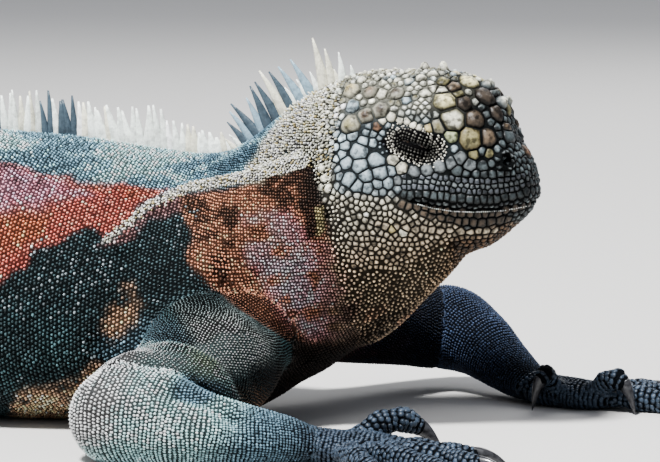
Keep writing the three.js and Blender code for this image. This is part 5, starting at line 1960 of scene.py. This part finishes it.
def addCrest():
    draw = np.random.default_rng(31)
    shape = {"Sides": 8, "Rings": 7, "Top": 0.24, "Bulge": 0.42, "Lean": 0.4, "Sunk": crest["sunk"],
             "Wobble": 0.03, "Seed": 9}
    along, tall, tilt, names = (np.array(v) for v in zip(*napeSpines))
    tints = np.array([colours[n] for n in names])
    nape = spineRoots(along, tall, tilt, np.interp(tall, [5, 17], [1.2, 2.3]), tints)
    plant("nape_spines", nape, finishes["spine"],
          {**shape, "Sides": 10, "Top": 0.13, "Bulge": 0.22, "Lean": 0.7})
    along = np.arange(crest["backFrom"], crest["backTo"], -crest["backStep"])
    along = along + draw.normal(0, 0.2, len(along))
    rise = ease(-along, 8, 40) * 0.55 + 0.45
    fall = np.interp(-along, [180, 262], [1, 0.78])
    tall = crest["backTall"] * rise * fall * (1 + draw.normal(0, 0.09, len(along)))
    patchy = noise(np.stack([along, along * 0, along * 0], axis=1), 7, 51)
    dark = patchy + draw.normal(0, 0.3, len(along)) > 0.42
    tints = np.where(dark[:, None], colours["spineSlate"], colours["white"])
    warm = draw.random(len(along)) < 0.2
    tints = np.where((warm & ~dark)[:, None], colours["cream"], tints)
    tints = tints * (1 + draw.normal(0, 0.07, (len(along), 1)))
    back = spineRoots(along, tall, 4 + draw.normal(0, 4, len(along)),
                      crest["spineWidth"] * (1 + draw.normal(0, 0.1, len(along))), np.clip(tints, 0, 1))
    plant("back_spines", back, finishes["spine"], shape)
    along = np.arange(crest["backTo"] - 2, body["tailEnd"] + 12, -crest["tailStep"])
    share = (along - along[0]) / (along[-1] - along[0])
    tall = crest["tailTallFrom"] + (crest["tailTallTo"] - crest["tailTallFrom"]) * share
    tints = np.where((draw.random(len(along)) < 0.35)[:, None], colours["spineBlue"], colours["darkSlate"])
    tail = spineRoots(along, tall, 24 + 10 * share + draw.normal(0, 3, len(along)),
                      crest["spineWidth"] * np.interp(share, [0, 1], [1.3, 0.6]), tints)
    plant("tail_spines", tail, finishes["spine"], {**shape, "Rings": 4})


granules = {
    "nape": {"apart": 1.0, "wide": 0.48, "tall": 1.2, "seed": 41},
    "stripe": {"apart": 0.72, "wide": 0.52, "tall": 0.75, "seed": 42},
    "candidates": 30000,
    # Half the stripe's width in photo pixels, by the share of its length
    "stripeWidth": ([0, 0.3, 0.7, 1], [9, 5.5, 3.4, 2.6]),
}


def addNapeGranules():
    middle = unbend(skinPoints[skinFaces].mean(1))
    spots = sideView(middle)
    far, share = lineDistance(spots, stripeLine)
    near = (middle[:, 0] > -45) & (middle[:, 0] < 31) & (skinNormals[skinFaces[:, 0], 2] > -0.4)
    onStripe = near & (far < np.interp(share, *granules["stripeWidth"])) & (np.abs(middle[:, 1]) > 12)
    onNape = near & ~onStripe & (zone(spots, marks["napeCream"], 1) > 0.6)
    for part, rooted in (("nape", onNape), ("stripe", onStripe)):
        wanted = granules[part]
        tried = placesOn(rooted, granules["candidates"], wanted["seed"])
        sizes = np.full(len(tried), wanted["apart"] / 1.72)
        spot, up = onSkin(tried[spaced(tried / mm, sizes, wanted["apart"])])
        straight = unbend(spot)
        draw = np.random.default_rng(wanted["seed"] + 10)
        tall = wanted["tall"] * np.exp(draw.normal(0, 0.25, len(spot)))
        wide = wanted["wide"] * (1 + draw.normal(0, 0.12, len(spot)))
        ahead = flattened(np.tile([0.4, 0.0, 1.0], (len(spot), 1)) + draw.normal(0, 0.15, (len(spot), 3)), up)
        warm = (draw.random(len(spot)) < 0.15)[:, None]
        tints = np.where(warm, colours["ochre"] * 1.3, colours["cream"] * 1.35)
        tints = tints * np.exp(draw.normal(0, 0.25, (len(spot), 1)))
        roots = {"point": spot, "up": up, "ahead": ahead, "tint": np.clip(tints, 0, 1),
                 "size": np.stack([wide * 1.15, wide * 0.85, tall], axis=1) * mm,
                 "place": unwrapPlace(np.clip((straight[:, 0] + 50) / 90, 0, 1),
                                      np.clip(0.5 + straight[:, 1] / 120, 0, 1))}
        plant(part + "_granules", roots, finishes["neck"],
              {"Sides": 6, "Rings": 2, "Top": 0.25, "Bulge": 0.2, "Lean": 0.5, "Sunk": 0.25, "Wobble": 0.12,
               "Seed": 10})


def addLipEdge():
    # The pale beads along the edge of the lower lip
    along = np.arange(57.5, 90.5, 0.62)
    height = np.interp(along, *np.array(mouthLine).T) - 0.85
    rightSide = np.stack([along, np.full(len(along), -24.0), height], axis=1)
    start = np.vstack([rightSide, rightSide * [1, -1, 1]])
    spots = []
    for p in start:
        a, b = bend(np.stack([p, p * [1, 0, 1]]))
        place = skinTree.ray_cast(Vector(a), Vector(b - a).normalized())[0]
        spots.append(place if place is not None else Vector(b))
    spot, up = onSkin(np.array(spots))
    straight = unbend(spot)
    ahead = flattened(np.tile([1.0, 0, 0], (len(spot), 1)), up, 0.05)
    draw = np.random.default_rng(47)
    roots = {"point": spot, "up": up, "ahead": ahead,
             "tint": np.clip(colours["white"] * (1.1 + draw.normal(0, 0.15, (len(spot), 1))), 0, 1),
             "size": np.tile([0.44 * mm, 0.42 * mm, 0.62 * mm], (len(spot), 1)),
             "place": unwrapPlace(straight[:, 0] / 95, 0.5 + straight[:, 1] / 60)}
    plant("lip_edge", roots, finishes["head"],
          {"Sides": 6, "Rings": 1, "Top": 0.4, "Lean": 0.0, "Sunk": 0.3, "Wobble": 0.1, "Seed": 12})


addCrest()
addNapeGranules()
addLipEdge()


# Claws and eyes

claws = {"bow": 2.6, "rings": 18, "sides": 14, "flat": 0.72, "buried": 0.12}


def hornFinish():
    material, graph = newMaterial("horn")
    streak = graph.grain(700.0, 2.0)
    stops = [(0.35, (0.012, 0.012, 0.014)), (0.7, (0.055, 0.055, 0.06))]
    shade = graph.node("ShaderNodeValToRGB", {"stops": stops}, {"Fac": streak}, out="Color")
    graph.surface({"Base Color": shade, "Roughness": 0.22 + streak * 0.2, "Coat Weight": 0.4})
    return material


def clawTable(points, thick):
    before, root, tip = np.array(points[2:], float)
    root = root + (before - root) * claws["buried"]
    bow = root + (tip - root) * 0.45 + [0, 0, claws["bow"]]
    s = np.linspace(0, 1, 8)[:, None]
    curve = (1 - s) ** 2 * root + 2 * s * (1 - s) * bow + s * s * tip
    radius = thick * 0.62 * (1 - s) ** 0.75 + 0.12
    return np.hstack([curve, radius * claws["flat"], radius * 1.1])


def addClaws():
    points, faces, names, start = [], [], [], 0
    for name, leg in legs.items():
        stem = name.replace("foreleg_", "hand_claw_").replace("hindleg_", "foot_claw_")
        for k, (digit, thick) in enumerate(zip(leg["digits"], digitThick)):
            loft, triangles = limbPart(clawTable(digit, thick), claws["rings"], claws["sides"], 0)
            points.append(placeLimb(loft))
            faces.append(triangles + start)
            start += len(loft)
            names.append(f"{stem}_{k + 1}")
    piece = meshObject("claws", np.concatenate(points), np.concatenate(faces))
    piece.data.materials.append(hornFinish())
    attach(piece, "root")
    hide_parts(*names)
    print("claws made")


def eyeFinish(name):
    material, graph = newMaterial(name)
    where = graph.node("ShaderNodeTexCoord", out="Object")
    side = 1 if name.endswith("left") else -1
    turned = bend((eyeCentre * [1, side, 1] + [1.2, side * body["eyeRadius"], -0.6])[None])[0]
    settings = {"operation": "DISTANCE"}
    away = graph.node("ShaderNodeVectorMath", settings, {0: where, 1: tuple(turned)}, out="Value")
    # Pupil, iris and the dark rim, by centimetres from the pupil's middle
    stops = [(0.0, (0.002, 0.002, 0.002)), (0.2, (0.003, 0.003, 0.003)), (0.25, (0.05, 0.028, 0.014)),
             (0.5, (0.026, 0.015, 0.009)), (0.56, (0.008, 0.006, 0.006))]
    shade = graph.node("ShaderNodeValToRGB", {"stops": stops}, {"Fac": away * 100}, out="Color")
    graph.surface({"Base Color": shade, "Roughness": 0.25, "Coat Weight": 0.2, "Coat Roughness": 0.05})
    return material


addClaws()


# Eyes, floor and light

def addEyes():
    for name in ("eye_left", "eye_right"):
        low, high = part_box(name)
        middle = (low + high) / 2
        radius = body["eyeRadius"] * mm
        bpy.ops.mesh.primitive_uv_sphere_add(segments=64, ring_count=32, radius=radius, location=middle)
        ball = bpy.context.object
        ball.name = "eyeball_" + name.split("_")[1]
        ball.data.transform(ball.matrix_world)
        ball.matrix_world = Matrix.Identity(4)
        ball.data.polygons.foreach_set("use_smooth", np.ones(len(ball.data.polygons), bool))
        ball.data.materials.append(eyeFinish(ball.name))
        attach(ball, "root")
        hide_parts(name)


light = {
    "key": 112, "keySize": 0.3, "keyPlace": (0.0, -0.98, 2.0),
    "fill": 12, "fillSize": 1.6, "fillPlace": (-1.5, -1.3, 0.9),
    "back": 14, "backSize": 1.0, "backPlace": (0.2, 1.6, 1.3),
    "sky": 0.4,
    "floorSize": 6,
    "floorGap": 0.00015,
}


def addStage():
    corners = np.array([[-1, -1, 0], [1, -1, 0], [1, 1, 0], [-1, 1, 0]]) * light["floorSize"]
    floor = meshObject("floor", corners - [0, 0, light["floorGap"]], [(0, 1, 2, 3)], False)
    pale, graph = newMaterial("floorPaint")
    graph.surface({"Base Color": (0.62, 0.61, 0.59, 1), "Roughness": 0.85})
    floor.data.materials.append(pale)
    for part in ("key", "fill", "back"):
        lamp = bpy.data.lights.new(part, "AREA")
        lamp.energy = light[part]
        lamp.size = light[part + "Size"]
        lampPiece = linked(part, lamp)
        place = Vector(light[part + "Place"])
        aim = Vector(viewTarget * mm) - place
        lampPiece.matrix_world = Matrix.Translation(place) @ aim.to_track_quat("-Z", "Y").to_matrix().to_4x4()
    world = bpy.data.worlds.new("sky")
    world.use_nodes = True
    sky = world.node_tree.nodes["Background"].inputs
    sky["Color"].default_value = (0.86, 0.9, 1.0, 1)
    sky["Strength"].default_value = light["sky"]
    bpy.context.scene.world = world
    bpy.context.scene.view_settings.view_transform = "AgX"
    bpy.context.scene.view_settings.look = "AgX - Medium High Contrast"


fleshNodes = [n for n in frame["nodes"] if not n.startswith("eye_") and "_claw_" not in n]
skinShade = 0.05  # the skin between the scales, as a share of their colour: painted shade in the grooves between them


def skinFinish():
    material, graph = newMaterial("skin")
    where = graph.node("ShaderNodeTexCoord", out="Object")
    grain = graph.node("ShaderNodeTexVoronoi", None, {"Vector": where, "Scale": 1100.0}, out="Distance")
    shown = graph.scaled(graph.attribute("tint", "COLOR"), 0.6 + grain * 0.8)
    bump = graph.node("ShaderNodeBump", None, {"Strength": 0.4, "Distance": 0.0004, "Height": grain})
    graph.surface({"Base Color": shown, "Roughness": 0.8, "Specular IOR Level": 0.08, "Normal": bump})
    return material


def finishSkin():
    mesh = bpy.data.meshes.new("skin")
    mesh.from_pydata(skinPoints.tolist(), [], skinFaces.tolist())
    mesh.polygons.foreach_set("use_smooth", np.ones(len(mesh.polygons), bool))
    skinPiece.data = mesh
    straight = unbend(skinPoints)
    shown = marked(straight)
    for name, leg in legs.items():
        for share, part in enumerate(("upper", "lower", "sole")):
            centre, _ = limbCurve(leg[part], np.linspace(0, 1, 30))
            tree = treeOf((centre + frameShift) * mm)
            side = -1 if name.endswith("right") else 1
            reach = 24 if share < 2 else 48
            near = np.where(side * straight[:, 1] > 20)[0]
            found = [(tree.find(skinPoints[i])[1:], i) for i in near]
            chosen = np.array([i for (k, far), i in found if far < reach * mm], int)
            runs = np.array([share + k / 29 for (k, far), i in found if far < reach * mm])
            if len(chosen) == 0:
                continue
            # The skin under the upper legs' scales gets a quarter of their colour, more painted shade between
            # them
            own = markedLeg(name, skinPoints[chosen] / mm - frameShift, runs) * (0.25 if share == 0 else 1)
            weight = np.ones(len(runs)) if share else ease(runs, 0.15, 0.32)
            shown[chosen] += (own - shown[chosen]) * weight[:, None]
    # The skin between the nape's granules is painted darker, as shade between them, and on the crown it gets
    # less painted shade
    bare = zone(sideView(straight), marks["napeCream"], 3)
    # Inside the nostril the skin is painted near black, as painted shade in the hole
    inside = np.linalg.norm(foldedOver(straight) - nostrilPlace, axis=1) < 2
    shown *= (1 - 0.6 * bare - 0.9 * inside * (1 - bare) + 2 * onCrown(straight))[:, None]
    addTint(mesh, np.clip(shown * skinShade, 0, 1))
    mesh.materials.append(skinFinish())
    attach(skinPiece, "root")
    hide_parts(*fleshNodes)


addEyes()
addStage()
finishSkin()
